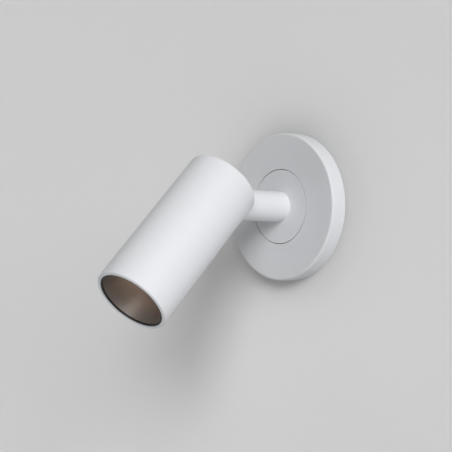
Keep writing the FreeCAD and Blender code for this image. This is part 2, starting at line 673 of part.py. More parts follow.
def head_can():
    """Tube closed at the rear, slotted from the middle of that end down one side for the stem."""
    piece = Piece("head_can", head=True)
    outside = "head_diameter / 2"
    piece.revolve([
        ("0", REAR), (outside, REAR), (outside, MOUTH), (HEAD_INSIDE, MOUTH),
        (HEAD_INSIDE, f"{REAR} - rear_wall"), ("0", f"{REAR} - rear_wall"),
    ])
    piece.round("rear_edge_radius", [(outside, REAR)])
    piece.round("mouth_edge_radius", [(outside, MOUTH)])
    width = "(stem_diameter + 2 * slot_gap)"
    side = piece.sketch("top")
    rectangle(side, f"-{width} / 2", "0", f"{width} / 2", f"{REAR} + {OVERRUN}")
    piece.pocket(side)
    end = piece.sketch("top")
    circle(end, width)
    piece.pocket(end)
    rear = piece.sketch("front")
    circle(rear, width)
    piece.pocket(rear)
    grub = piece.sketch("top")
    circle(grub, GRUB_HOLE, "0", HEAD_GRUB)
    piece.pocket(grub)


def yoke():
    """Two cheeks on a web, with the pivot hole across them."""
    piece = Piece("yoke", head=True)
    web = piece.sketch("front", "web_start")
    rectangle(web, "-web_width / 2", "-cheek_radius", "web_width / 2", "cheek_radius")
    piece.pad(web, "web_thickness")
    for start in (CHEEK_INSIDE, f"-{CHEEK_OUTSIDE}"):
        arm = piece.sketch("side", start)
        rectangle(arm, "-web_start - web_thickness / 2", "-cheek_radius", "0", "cheek_radius")
        piece.pad(arm, "cheek_thickness")
        end = piece.sketch("side", start)
        circle(end, "2 * cheek_radius")
        piece.pad(end, "cheek_thickness")
    pivot = piece.sketch("side")
    circle(pivot, "pivot_bolt_diameter + 2 * slack")
    piece.pocket(pivot, symmetric=True)
    holes = piece.sketch("front", "web_start")
    circle(holes, "lead_hole", "0", "lead_offset")
    for side in ("", "-"):
        circle(holes, SCREW_HOLE, f"{side}(yoke_screw_x)", "0")
    piece.pocket(holes, f"web_thickness + {OVERRUN}", backwards=True)


def yoke_screws():
    piece = Piece("yoke_screws", head=True)
    for side in ("", "-"):
        shank = piece.sketch("front", "web_start")
        circle(shank, "screw_shank", f"{side}(yoke_screw_x)", "0")
        piece.pad(shank, "web_thickness + yoke_screw_grip")
        cap = piece.sketch("front", "web_start")
        circle(cap, "screw_head", f"{side}(yoke_screw_x)", "0")
        piece.pad(cap, "screw_head_height", backwards=True)
        socket = piece.sketch("front", "web_start - screw_head_height")
        hexagon(socket, "screw_socket", f"{side}(yoke_screw_x)", "0")
        piece.pocket(socket, "screw_socket_depth", backwards=True)


def pivot_bolt():
    """Button-headed bolt along X through the cheeks and the tongue."""
    piece = Piece("pivot_bolt", head=True)
    radius = "pivot_bolt_diameter / 2"
    cap = "bolt_head_diameter / 2"
    end = f"{CHEEK_OUTSIDE} + bolt_head_height"
    tip = f"-{NUT_OUTSIDE} - bolt_over"
    piece.revolve([
        (tip, "0"), (tip, f"{radius} - bolt_over / 2"), (f"{tip} + bolt_over / 2", radius),
        (CHEEK_OUTSIDE, radius), (CHEEK_OUTSIDE, cap), (f"{CHEEK_OUTSIDE} + bolt_head_side", cap),
        (end, "bolt_head_top / 2"), (end, "0"),
    ], axis="X")
    socket = piece.sketch("side", end)
    hexagon(socket, "bolt_socket")
    piece.pocket(socket, "bolt_socket_depth")


def pivot_nut():
    piece = Piece("pivot_nut", head=True)
    body = piece.sketch("side", f"-{NUT_OUTSIDE}")
    hexagon(body, "pivot_nut_flats")
    circle(body, "pivot_bolt_diameter + 2 * slack")
    piece.pad(body, "pivot_nut_thickness")


def friction_washers():
    """A washer inside each cheek, a thrust gap away from the tongue."""
    piece = Piece("friction_washers", head=True)
    thickness = "yoke_gap - thrust_gap"
    for start in (f"{CHEEK_INSIDE} - ({thickness})", f"-{CHEEK_INSIDE}"):
        flat = piece.sketch("side", start)
        circle(flat, "friction_washer_diameter")
        circle(flat, "pivot_bolt_diameter + 2 * seat_gap")
        piece.pad(flat, thickness)


def spring_washers():
    """Two cupped washers back to back between a cheek and the nut."""
    piece = Piece("spring_washers", head=True)
    inside = "pivot_bolt_diameter / 2 + seat_gap"
    outside = "spring_washer_diameter / 2"
    single = "(spring_washer_sheet + spring_washer_cup)"
    first = f"-{CHEEK_OUTSIDE}"
    middle = f"{first} - {single}"
    last = f"{middle} - {single}"
    piece.revolve([
        (f"{first} - spring_washer_cup", outside), (first, inside),
        (f"{first} - spring_washer_sheet", inside), (middle, outside),
    ], axis="X")
    piece.revolve([
        (f"{last} + spring_washer_cup", outside), (last, inside),
        (f"{last} + spring_washer_sheet", inside), (middle, outside),
    ], axis="X")


def heat_sink():
    """Turned heat sink: a core with evenly spaced grooves between two thicker discs."""
    piece = Piece("heat_sink", head=True)
    outside = f"({HEAD_INSIDE} - sink_gap)"
    piece.revolve([("0", SINK_BACK), (outside, SINK_BACK), (outside, SINK_FRONT), ("0", SINK_FRONT)])
    start = f"({SINK_BACK} - sink_rear_disc)"
    cut = piece.revolve([
        ("sink_core / 2", start), (f"{outside} + {OVERRUN}", start),
        (f"{outside} + {OVERRUN}", f"{start} - sink_groove"), ("sink_core / 2", f"{start} - sink_groove"),
    ], grows=False)
    fins = piece.add("LinearPattern")
    fins.Originals = [cut]
    fins.Direction = (piece.origin("Y_Axis"), [""])
    fins.Reversed = True
    fins.setExpression("Length", cells("(sink_grooves - 1) * sink_pitch"))
    fins.setExpression("Occurrences", cells("sink_grooves"))
    piece.body.Tip = fins
    piece.finish(fins, False)
    lead = piece.sketch("front", f"-{SINK_BACK}")
    circle(lead, "lead_hole", "0", "lead_offset")
    piece.pocket(lead, symmetric=True)
    rear = piece.sketch("front", f"-{SINK_BACK}")
    front = piece.sketch("front", f"-{SINK_FRONT}")
    for side in ("", "-"):
        circle(rear, SCREW_HOLE, f"{side}(yoke_screw_x)", "0")
        circle(front, SCREW_HOLE, f"{side}(holder_screw_x)", "0")
    piece.pocket(rear, "yoke_screw_grip + seat_gap", backwards=True)
    piece.pocket(front, "holder_screw_grip + seat_gap")
    grub = piece.sketch("top", f"-({outside} - head_grub_length)")
    circle(grub, GRUB_HOLE, "0", HEAD_GRUB)
    piece.pocket(grub)


def head_grub_screw():
    piece = Piece("head_grub_screw", head=True)
    grub_screw(piece, HEAD_GRUB, "head_diameter / 2", "head_grub_length")


def led_board():
    piece = Piece("led_board", head=True)
    flat = piece.sketch("front", f"-{SINK_FRONT}")
    circle(flat, "board_diameter")
    circle(flat, "lead_hole", "0", "lead_offset")
    for side in ("", "-"):
        circle(flat, SCREW_HOLE, f"{side}(holder_screw_x)", "0")
    piece.pad(flat, "board_thickness")


def led_emitter():
    """Low round light source with a bevelled edge."""
    piece = Piece("led_emitter", head=True)
    radius = "emitter_diameter / 2"
    top = f"{BOARD_FRONT} - emitter_height"
    piece.revolve([
        ("0", BOARD_FRONT), (radius, BOARD_FRONT), (radius, f"{top} + emitter_height / 2"),
        (f"{radius} - emitter_height / 2", top), ("0", top),
    ])


def led_holder():
    """Ring that clamps the board, with a seat for the lens and sunk screw heads."""
    piece = Piece("led_holder", head=True)
    outside = "board_diameter / 2"
    seat = "lens_diameter / 2 + seat_gap"
    piece.revolve([
        ("holder_bore / 2", BOARD_FRONT), (outside, BOARD_FRONT), (outside, HOLDER_FRONT),
        (seat, HOLDER_FRONT), (seat, LENS_BACK), ("holder_bore / 2", LENS_BACK),
    ])
    sunk = piece.sketch("front", f"-{HOLDER_FRONT}")
    through = piece.sketch("front", f"-{HOLDER_FRONT}")
    for side in ("", "-"):
        circle(sunk, "screw_head + 2 * seat_gap", f"{side}(holder_screw_x)", "0")
        circle(through, SCREW_HOLE, f"{side}(holder_screw_x)", "0")
    piece.pocket(sunk, "screw_head_height + seat_gap")
    piece.pocket(through, f"holder_height + {OVERRUN}")


def led_holder_screws():
    piece = Piece("led_holder_screws", head=True)
    seat = f"({HOLDER_FRONT} + screw_head_height + seat_gap)"
    places = [("holder_screw_x", "0"), ("-holder_screw_x", "0")]
    length = f"{SINK_FRONT} - {seat} + holder_screw_grip"
    headed_screws(piece, places, f"-{seat}", "screw_shank", length, "screw_head", "screw_head_height")
    cross_recess(piece, places, f"-{seat} + screw_head_height", "screw_cross")


def lens():
    piece = Piece("lens", head=True)
    radius = "lens_diameter / 2"
    front = f"{LENS_BACK} - lens_thickness"
    piece.revolve([("0", LENS_BACK), (radius, LENS_BACK), (radius, front), ("0", front)])


def reflector():
    """Bowl with a curved side of even wall, a foot on the holder and its edge behind the ring."""
    piece = Piece("reflector", head=True)
    drawn = piece.sketch("top")
    throat = "reflector_throat / 2"
    foot_front = f"({HOLDER_FRONT} - reflector_wall)"
    inner = [number(throat), number(HOLDER_FRONT)]
    mouth = [number(BOWL_EDGE), number(RING_BACK)]
    normal = FreeCAD.Vector(0, 0, 1)
    radius = number("reflector_curve")
    across = [mouth[0] - inner[0], mouth[1] - inner[1]]
    chord = math.hypot(*across)
    rise = math.sqrt(radius ** 2 - (chord / 2) ** 2)
    centre = FreeCAD.Vector((inner[0] + mouth[0]) / 2 + across[1] / chord * rise,
                            (inner[1] + mouth[1]) / 2 - across[0] / chord * rise, 0)
    wall = number("reflector_wall")

    def angle(x, y):
        return math.atan2(y - centre.y, x - centre.x)

    def on_outer(y):
        reach = radius + wall
        return centre.x + math.sqrt(reach ** 2 - (y - centre.y) ** 2)

    outer_foot = on_outer(number(foot_front))
    outer_mouth = on_outer(mouth[1])
    inside = Part.ArcOfCircle(Part.Circle(centre, normal, radius), angle(*mouth), angle(*inner))
    outside = Part.ArcOfCircle(Part.Circle(centre, normal, radius + wall),
                               angle(outer_mouth, mouth[1]), angle(outer_foot, number(foot_front)))
    a = drawn.addGeometry(inside, False)
    b = drawn.addGeometry(outside, False)
    foot = number("reflector_foot") / 2
    corners = [
        inner, [foot, inner[1]], [foot, number(foot_front)], [outer_foot, number(foot_front)],
    ]
    lines = []
    for start, end in zip(corners, corners[1:]):
        segment = Part.LineSegment(FreeCAD.Vector(*start, 0), FreeCAD.Vector(*end, 0))
        lines.append(drawn.addGeometry(segment, False))
    lip = Part.LineSegment(FreeCAD.Vector(outer_mouth, mouth[1], 0), FreeCAD.Vector(*mouth, 0))
    lip = drawn.addGeometry(lip, False)
    joined = [
        (a, 2, lines[0], 1), (lines[0], 2, lines[1], 1), (lines[1], 2, lines[2], 1),
        (lines[2], 2, b, 2), (b, 1, lip, 1), (lip, 2, a, 1), (a, 3, b, 3),
    ]
    for first, end, second, start in joined:
        drawn.addConstraint(Sketcher.Constraint("Coincident", first, end, second, start))
    place(drawn, a, 2, throat, HOLDER_FRONT)
    place(drawn, a, 1, BOWL_EDGE, RING_BACK)
    place(drawn, lines[1], 1, "reflector_foot / 2", HOLDER_FRONT)
    place(drawn, lines[2], 1, "reflector_foot / 2", foot_front)
    for shape, point, text in ((b, 2, foot_front), (b, 1, RING_BACK)):
        index = drawn.addConstraint(Sketcher.Constraint("DistanceY", -1, 1, shape, point, number(text)))
        drawn.setExpression(f"Constraints[{index}]", cells(text))
    for shape, text in ((a, "reflector_curve"), (b, "reflector_curve + reflector_wall")):
        index = drawn.addConstraint(Sketcher.Constraint("Radius", shape, number(text)))
        drawn.setExpression(f"Constraints[{index}]", cells(text))
    made = piece.add("Revolution")
    made.Profile = drawn
    made.ReferenceAxis = (piece.origin("Y_Axis"), [""])
    made.Angle = 360
    piece.finish(made, True)


def trim_ring():
    ring("trim_ring", RING_INSIDE, f"{HEAD_INSIDE} - seat_gap", RING_BACK, RING_FRONT, head=True)


def head_lead():
    """Lead through the web, the heat sink and the board."""
    piece = Piece("head_lead", head=True)
    run = piece.sketch("front", "lead_start")
    circle(run, "lead_diameter", "0", "lead_offset")
    piece.pad(run, f"-{BOARD_FRONT} - lead_start")


PIECES = [
    wall_plate, mounting_bracket, plate_grub_screw, terminal_block, terminal_screws,
    terminal_fixing_screws, earth_screw, earth_washer, thrust_washer,
    swivel_disc, stop_pin, swivel_nipple, wave_washer, swivel_nut, stem, stem_lead,
    head_can, yoke, yoke_screws, pivot_bolt, pivot_nut, friction_washers, spring_washers,
    heat_sink, head_grub_screw, led_board, led_emitter, led_holder, led_holder_screws,
    lens, reflector, trim_ring, head_lead,
]

for make in PIECES:
    make()
doc.recompute()

for thing in doc.Objects:
    if "Invalid" in thing.State or "Error" in thing.State:
        raise RuntimeError(f"{thing.Name} is {thing.State}")
bodies = [thing for thing in doc.Objects if thing.isDerivedFrom("PartDesign::Body")]
for body in bodies:
    if body.Shape.isNull() or not body.Shape.isValid():
        raise RuntimeError(f"{body.Label} has no sound shape")

os.makedirs("parts", exist_ok=True)
for body in bodies:
    body.Shape.exportStep(f"parts/{body.Label}.step")
print(len(bodies), "pieces written")
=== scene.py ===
"""Pivoting spotlight wall light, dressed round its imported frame.

Metres. The wall is the plane Y = 0, the light stands out from it towards -Y, and +Z is up.
The pieces are drawn in millimetres. Turned ones are outlines of (radius, station), with the station
along Y: the pieces of the wall unit and the swivel in the frame itself, those of the head in the
head's own frame, whose origin is the tilt pivot and whose -Y points along the beam.
"""
import json
import math
import bmesh
import bpy
from mathutils import Matrix, Vector


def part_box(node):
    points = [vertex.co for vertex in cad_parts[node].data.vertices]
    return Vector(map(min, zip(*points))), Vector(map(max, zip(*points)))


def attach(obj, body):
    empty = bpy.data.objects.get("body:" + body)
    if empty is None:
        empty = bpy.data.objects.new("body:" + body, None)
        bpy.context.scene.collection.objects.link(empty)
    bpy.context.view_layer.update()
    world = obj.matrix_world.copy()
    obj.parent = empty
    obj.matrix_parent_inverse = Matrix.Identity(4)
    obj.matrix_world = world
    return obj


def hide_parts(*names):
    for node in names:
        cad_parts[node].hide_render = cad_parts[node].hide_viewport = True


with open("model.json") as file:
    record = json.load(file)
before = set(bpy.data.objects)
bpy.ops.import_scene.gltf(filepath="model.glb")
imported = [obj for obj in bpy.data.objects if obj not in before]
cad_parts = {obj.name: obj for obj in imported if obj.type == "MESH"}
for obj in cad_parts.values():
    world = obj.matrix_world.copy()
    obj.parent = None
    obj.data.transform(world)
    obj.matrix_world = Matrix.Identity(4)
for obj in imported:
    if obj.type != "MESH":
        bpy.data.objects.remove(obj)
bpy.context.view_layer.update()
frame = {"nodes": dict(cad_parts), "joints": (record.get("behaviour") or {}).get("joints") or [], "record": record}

MM = 0.001
RECORD = frame["record"]
SLOTS = {row["node"]: row["material_slot"] for row in RECORD["subparts"]}
BODIES = {node: body for body, nodes in RECORD["behaviour"]["bodies"].items() for node in nodes}
JOINTS = {joint["name"]: joint for joint in frame["joints"]}
PIVOT = Vector(JOINTS["tilt"]["pos_m"])
REST_TILT = math.radians(-JOINTS["tilt"]["range_deg"][0])
HEAD = Matrix.Translation(PIVOT) @ Matrix.Rotation(REST_TILT, 4, "X")
STRAIGHT = Matrix.Identity(4)
Y_TO_X = Matrix.Rotation(math.radians(-90), 4, "Z")
Y_TO_MINUS_X = Matrix.Rotation(math.radians(90), 4, "Z")
Y_TO_Z = Matrix.Rotation(math.radians(90), 4, "X")
Y_BACKWARDS = Matrix.Rotation(math.radians(180), 4, "Z")
XY_TO_YZ = Matrix(((0, 0, 1, 0), (1, 0, 0, 0), (0, 1, 0, 0), (0, 0, 0, 1)))

# ---- camera ----

PICTURE = 452
FOCAL = 1339.4
SENSOR = 36.0
CAMERA_AT = Vector((650.0, -645.5, -51.4)) * MM
CAMERA_YAW = math.radians(-48.03)
CAMERA_PITCH = math.radians(2.43)
CAMERA_ROLL = math.radians(-0.42)


def camera():
    """The photograph's view, from the right of the light and a little below it."""
    level = math.cos(CAMERA_PITCH)
    ahead = Vector((math.sin(CAMERA_YAW) * level, math.cos(CAMERA_YAW) * level, math.sin(CAMERA_PITCH)))
    side = Vector((math.cos(CAMERA_YAW), -math.sin(CAMERA_YAW), 0))
    above = side.cross(ahead)
    right = side * math.cos(CAMERA_ROLL) + above * math.sin(CAMERA_ROLL)
    up = above * math.cos(CAMERA_ROLL) - side * math.sin(CAMERA_ROLL)
    data = bpy.data.cameras.new("camera")
    data.lens = SENSOR * FOCAL / PICTURE
    data.sensor_width = SENSOR
    made = bpy.data.objects.new("camera", data)
    turn = Matrix((right, up, -ahead)).transposed().to_4x4()
    made.matrix_world = Matrix.Translation(CAMERA_AT) @ turn
    bpy.context.scene.collection.objects.link(made)
    bpy.context.scene.camera = made


# ---- shader maths ----

class Value:
    """A number that changes over a surface, so that sums on it are written as sums."""

    def __init__(self, nodes, socket):
        self.nodes = nodes
        self.socket = socket

    def maths(self, operation, *terms):
        node = self.nodes.node("ShaderNodeMath", {"operation": operation})
        for socket, term in zip(node.inputs, terms):
            self.nodes.feed(socket, term)
        return Value(self.nodes, node.outputs[0])

    def __add__(self, other):
        return self.maths("ADD", self, other)

    def __sub__(self, other):
        return self.maths("SUBTRACT", self, other)

    def __rsub__(self, other):
        return self.maths("SUBTRACT", other, self)

    def __mul__(self, other):
        return self.maths("MULTIPLY", self, other)

    __radd__ = __add__
    __rmul__ = __mul__


class Nodes:
    """A node tree, and the one way to add a node to it."""

    def __init__(self, tree):
        self.tree = tree
        tree.nodes.clear()

    def feed(self, socket, value):
        if isinstance(value, Value):
            value = value.socket
        if isinstance(value, bpy.types.NodeSocket):
            self.tree.links.new(value, socket)
        else:
            socket.default_value = value

    def node(self, kind, settings=None, inputs=None):
        """A node of that type with its settings first, then its sockets' values or links."""
        made = self.tree.nodes.new(kind)
        for key, value in (settings or {}).items():
            setattr(made, key, value)
        for key, value in (inputs or {}).items():
            named = [s for s in made.inputs if s.enabled and key in (s.identifier, s.name)]
            self.feed(named[0], value)
        return made

    def result(self, kind, settings=None, inputs=None):
        """The first output of such a node."""
        return self.node(kind, settings, inputs).outputs[0]


class Finish(Nodes):
    """One material and the nodes that make it."""

    def __init__(self, name):
        self.material = bpy.data.materials.new(name)
        self.material.use_nodes = True
        super().__init__(self.material.node_tree)

    def place(self):
        return self.node("ShaderNodeTexCoord").outputs["Object"]

    def in_head(self):
        """Places in the head's own frame, so that a pattern runs round its axis."""
        return self.result("ShaderNodeMapping", {"vector_type": "TEXTURE"}, {
            "Vector": self.place(), "Location": PIVOT, "Rotation": (REST_TILT, 0.0, 0.0)})

    def noise(self, scale, detail=2.0):
        """Smooth noise from 0 to 1, with so many bumps a metre."""
        return Value(self, self.result("ShaderNodeTexNoise", None, {
            "Vector": self.place(), "Scale": scale, "Detail": detail}))

    def rings(self, across, along, detail):
        """Noise drawn out into rings round the head's axis, with so many bumps a metre each way."""
        drawn = self.result("ShaderNodeMapping", None, {
            "Vector": self.in_head(), "Scale": (across, along, across)})
        return Value(self, self.result("ShaderNodeTexNoise", None, {
            "Vector": drawn, "Scale": 1.0, "Detail": detail}))

    def blend(self, amount, first, second):
        made = self.node("ShaderNodeMix", {"data_type": "RGBA"},
                         {"Factor_Float": amount, "A_Color": (*first, 1.0), "B_Color": (*second, 1.0)})
        return next(s for s in made.outputs if s.identifier == "Result_Color")

    def bump(self, height, depth):
        return self.result("ShaderNodeBump", None, {"Height": height, "Distance": depth, "Strength": 1.0})

    def surface(self, **inputs):
        """The Principled shader, its sockets named with underscores, joined to the output."""
        named = {key.replace("_", " "): value for key, value in inputs.items()}
        return self.finished(self.result("ShaderNodeBsdfPrincipled", None, named))

    def finished(self, shader):
        self.node("ShaderNodeOutputMaterial", None, {"Surface": shader})
        return self.material


# ---- finishes ----

WHITE = (0.79, 0.80, 0.825)
REFLECTOR_MOUTH = -86.0
REFLECTOR_THROAT = -56.0
# the bronze's own colour at the mouth, and the paler, warmer painted reflection it blends into towards the throat
BRONZE_AT_MOUTH = (0.34, 0.308, 0.284)
THROAT_PAINTED_REFLECTION = (0.90, 0.715, 0.585)


def white_paint():
    """Satin powder paint: a faint orange peel, and gloss that varies a little."""
    finish = Finish("satin_white_paint")
    peel = finish.noise(900.0, 2.0) + 0.35 * finish.noise(3200.0, 1.0)
    cloud = finish.noise(45.0, 3.0)
    colour = finish.blend(cloud, tuple(0.985 * c for c in WHITE), WHITE)
    return finish.surface(Base_Color=colour, Roughness=0.46 + 0.08 * cloud,
                          Normal=finish.bump(peel, 0.012 * MM), Specular_IOR_Level=0.34)


def plated(name, dark, light, roughness):
    """Plated or bare metal with fine handling marks."""
    finish = Finish(name)
    cloud = finish.noise(120.0, 3.0)
    grain = finish.noise(700.0, 4.0)
    return finish.surface(Base_Color=finish.blend(cloud, dark, light), Metallic=1.0,
                          Roughness=roughness + 0.16 * grain, Normal=finish.bump(grain, 0.008 * MM))


def turned_metal(name, dark, light, roughness):
    """Metal from the lathe: fine rings square to the axis of the head."""
    finish = Finish(name)
    rings = finish.rings(60.0, 9000.0, 2.0)
    cloud = finish.noise(90.0)
    return finish.surface(Base_Color=finish.blend(cloud, dark, light), Metallic=1.0,
                          Roughness=roughness + 0.15 * rings, Normal=finish.bump(rings, 0.01 * MM))


def moulded(name, dark, light, roughness, **extra):
    """Moulded plastic with a fine spark-eroded grain."""
    finish = Finish(name)
    grain = finish.noise(2200.0)
    cloud = finish.noise(150.0)
    return finish.surface(Base_Color=finish.blend(cloud, dark, light), Roughness=roughness + 0.1 * grain,
                          Normal=finish.bump(grain, 0.01 * MM), **extra)


def reflector_finish():
    """Bronze anodised aluminium, turned and then blasted; towards the throat its colour is made warmer and paler,
    a painted reflection.
    """
    finish = Finish("bronze_reflector")
    grain = finish.noise(2600.0)
    rings = finish.rings(40.0, 2500.0, 1.0)
    station = finish.node("ShaderNodeSeparateXYZ", None, {"Vector": finish.in_head()}).outputs["Y"]
    # painted reflection: the colour fades from the bronze at the mouth to a paler, warmer one in the throat
    depth = finish.result("ShaderNodeMapRange", {"interpolation_type": "SMOOTHSTEP"}, {
        "Value": station, "From Min": REFLECTOR_MOUTH * MM, "From Max": REFLECTOR_THROAT * MM})
    return finish.surface(Base_Color=finish.blend(depth, BRONZE_AT_MOUTH, THROAT_PAINTED_REFLECTION),
                          Metallic=0.8, Roughness=0.36 + 0.05 * grain + 0.04 * rings,
                          Normal=finish.bump(grain + 0.5 * rings, 0.006 * MM))


# by the name of the record's slot
FINISHES = {
    "white_paint": white_paint(),
    "zinc_steel": plated("bright_zinc", (0.55, 0.56, 0.58), (0.66, 0.67, 0.69), 0.30),
    "spring_steel": plated("oiled_spring_steel", (0.24, 0.24, 0.25), (0.34, 0.34, 0.35), 0.32),
    "bare_aluminium": turned_metal("turned_aluminium", (0.66, 0.66, 0.67), (0.76, 0.76, 0.77), 0.28),
    "black_steel": plated("blackened_steel", (0.035, 0.035, 0.04), (0.06, 0.06, 0.065), 0.38),
    "black_trim": moulded("matt_black_trim", (0.012, 0.012, 0.013), (0.018, 0.018, 0.019), 0.5),
    "white_plastic": moulded("moulded_white", (0.74, 0.74, 0.72), (0.78, 0.78, 0.76), 0.45),
    "brass": plated("plain_brass", (0.68, 0.50, 0.22), (0.80, 0.62, 0.30), 0.26),
    "nylon": moulded("natural_nylon", (0.66, 0.65, 0.59), (0.72, 0.71, 0.66), 0.42),
    "board_white": moulded("printed_board", (0.78, 0.78, 0.78), (0.82, 0.82, 0.82), 0.5),
    "phosphor": moulded("phosphor_gel", (0.78, 0.60, 0.12), (0.84, 0.68, 0.18), 0.35,
                        Coat_Weight=0.5),
    "frosted_lens": moulded("frosted_lens_glass", (0.86, 0.86, 0.86), (0.9, 0.9, 0.9), 0.55,
                            Transmission_Weight=0.35, IOR=1.49),
    "dark_reflector": reflector_finish(),
    "lead_sheath": moulded("silicone_sheath", (0.72, 0.72, 0.71), (0.77, 0.77, 0.76), 0.48),
}


# ---- shapes ----

TURNS = 192
FINE_TURNS = 256
ROUND_TURNS = 96
BORE_TURNS = 64
SMALL_TURNS = 48
CORNER_STEPS = 6
SUPPORT = 0.25
CREASE = math.radians(32)


def rounded(outline):
    """The outline's points, each corner that gives a radius made an arc between two support points."""
    points = []
    count = len(outline)
    for index, corner in enumerate(outline):
        here = Vector(corner[:2])
        radius = corner[2] if len(corner) > 2 else 0.0
        if not radius:
            points.append(here)
            continue
        back = Vector(outline[index - 1][:2]) - here
        ahead = Vector(outline[(index + 1) % count][:2]) - here
        half = back.angle(ahead) / 2
        cut_off = radius / math.tan(half)
        start = here + back.normalized() * cut_off
        end = here + ahead.normalized() * cut_off
        inward = (back.normalized() + ahead.normalized()).normalized()
        centre = here + inward * radius / math.sin(half)
        if back.length > cut_off + 2 * SUPPORT:
            points.append(here + back.normalized() * (cut_off + SUPPORT))
        sweep = (end - centre).angle_signed(start - centre)
        for step in range(CORNER_STEPS + 1):
            turn = Matrix.Rotation(sweep * step / CORNER_STEPS, 2)
            points.append(centre + turn @ (start - centre))
        if ahead.length > cut_off + 2 * SUPPORT:
            points.append(here + ahead.normalized() * (cut_off + SUPPORT))
    return points


def shaded(mesh):
    """Smooth, apart from the edges that turn by more than the crease angle."""
    mesh.shade_smooth()
    mesh.set_sharp_from_angle(angle=CREASE)
    return mesh


def mesh_of(name, form):
    """A mesh object from a bmesh, its faces outwards."""
    bmesh.ops.remove_doubles(form, verts=form.verts, dist=1e-7)
    bmesh.ops.recalc_face_normals(form, faces=form.faces)
    mesh = bpy.data.meshes.new(name)
    form.to_mesh(mesh)
    form.free()
    made = bpy.data.objects.new(name, shaded(mesh))
    bpy.context.scene.collection.objects.link(made)
    return made


def lathe(form, points, turns, axis):
    """Turn a closed outline of (radius, station) round Y; a point on the axis becomes one pole."""
    rings = []
    for radius, station in points:
        if radius < 1e-6:
            rings.append([form.verts.new(axis @ (Vector((0, station, 0)) * MM))] * turns)
            continue
        ring = []
        for step in range(turns):
            angle = 2 * math.pi * step / turns
            point = Vector((radius * math.sin(angle), station, radius * math.cos(angle)))
            ring.append(form.verts.new(axis @ (point * MM)))
        rings.append(ring)
    for index, ring in enumerate(rings):
        after = rings[(index + 1) % len(rings)]
        if ring[0] is ring[1] and after[0] is after[1]:
            continue
        for step in range(turns):
            follow = (step + 1) % turns
            corners = [ring[step], ring[follow], after[follow], after[step]]
            corners = [c for place, c in enumerate(corners) if c not in corners[:place]]
            form.faces.new(corners)


def turned(name, *outlines, turns=TURNS, axis=STRAIGHT):
    """One or more closed outlines turned round the axis, as one mesh."""
    form = bmesh.new()
    for outline in outlines:
        lathe(form, rounded(outline), turns, axis)
    return mesh_of(name, form)


def prism(name, corners, low, high, axis=STRAIGHT):
    """A straight bar: corners in the XY plane, from low to high along Z, then placed by the axis."""
    form = bmesh.new()
    bottom = [form.verts.new(axis @ (Vector((x, y, low)) * MM)) for x, y in corners]
    top = [form.verts.new(axis @ (Vector((x, y, high)) * MM)) for x, y in corners]
    form.faces.new(bottom)
    form.faces.new(top)
    for index in range(len(corners)):
        after = (index + 1) % len(corners)
        form.faces.new([bottom[index], bottom[after], top[after], top[index]])
    return mesh_of(name, form)


def arc(x, y, radius, start, end, steps=24):
    """Points of an arc, its angles in degrees."""
    angles = [math.radians(start + (end - start) * step / steps) for step in range(steps + 1)]
    return [(x + radius * math.cos(a), y + radius * math.sin(a)) for a in angles]


def block(low, high):
    corners = [(low[0], low[1]), (high[0], low[1]), (high[0], high[1]), (low[0], high[1])]
    return prism("block", corners, low[2], high[2])


def rod(radius, start, end, sides=SMALL_TURNS):
    """A bar with so many sides from one point to another, its corners at the radius."""
    start = Vector(start)
    run = Vector(end) - start
    along = Matrix.Translation(start * MM) @ run.to_track_quat("Z", "Y").to_matrix().to_4x4()
    return prism("rod", arc(0, 0, radius, 0, 360, sides)[:-1], 0.0, run.length, along)


def obround(x, z, length, width, front, back):
    """A bar with round ends along X, between two stations on Y."""
    half = (length - width) / 2
    corners = arc(x + half, z, width / 2, -90, 90) + arc(x - half, z, width / 2, 90, 270)
    return prism("obround", corners, -back, -front, Y_TO_Z)


def moved(piece, axis):
    piece.data.transform(axis)
    return piece


def place(x, y, z):
    return Matrix.Translation(Vector((x, y, z)) * MM)


def settled(piece):
    """The piece with its modifiers applied, as a plain mesh."""
    bpy.context.view_layer.update()
    view = bpy.context.evaluated_depsgraph_get()
    mesh = bpy.data.meshes.new_from_object(piece.evaluated_get(view))
    piece.modifiers.clear()
    piece.data = shaded(mesh)
    return piece


def combined(piece, operation, *others):
    """The piece with the others joined to it, cut from it, or kept in common."""
    for other in others:
        step = piece.modifiers.new("combine", "BOOLEAN")
        step.operation = operation
        step.solver = "EXACT"
        step.object = other
    settled(piece)
    for other in others:
        bpy.data.objects.remove(other)
    return piece


def joined(piece, *others):
    return combined(piece, "UNION", *others)


def cut(piece, *others):
    return combined(piece, "DIFFERENCE", *others)


def softened(piece, width):
    """The piece with its sharp edges rounded a little."""
    step = piece.modifiers.new("soften", "BEVEL")
    step.width = width * MM
    step.segments = 2
    step.limit_method = "ANGLE"
    step.angle_limit = CREASE
    step.use_clamp_overlap = True
    return settled(piece)


def reach(node):
    """A node's lowest and highest corners in millimetres."""
    low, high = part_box(node)
    return low / MM, high / MM


def coated(piece, material):
    piece.data.materials.clear()
    piece.data.materials.append(material)


def dress(piece, name, node):
    """Name the piece, and let it stand for its CAD node, on the node's body and with its slot."""
    piece.name = name
    coated(piece, FINISHES[SLOTS[node]])
    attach(piece, BODIES[node])
    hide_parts(node)


# ---- Geometry Nodes ----

GEOMETRY = "NodeSocketGeometry"
LENGTH = "NodeSocketFloat"
COUNT = "NodeSocketInt"
POINT = "NodeSocketVector"
MATERIAL = "NodeSocketMaterial"
THREAD_STEPS = 24
BEND_STEPS = 14
LEAD_SIDES = 32


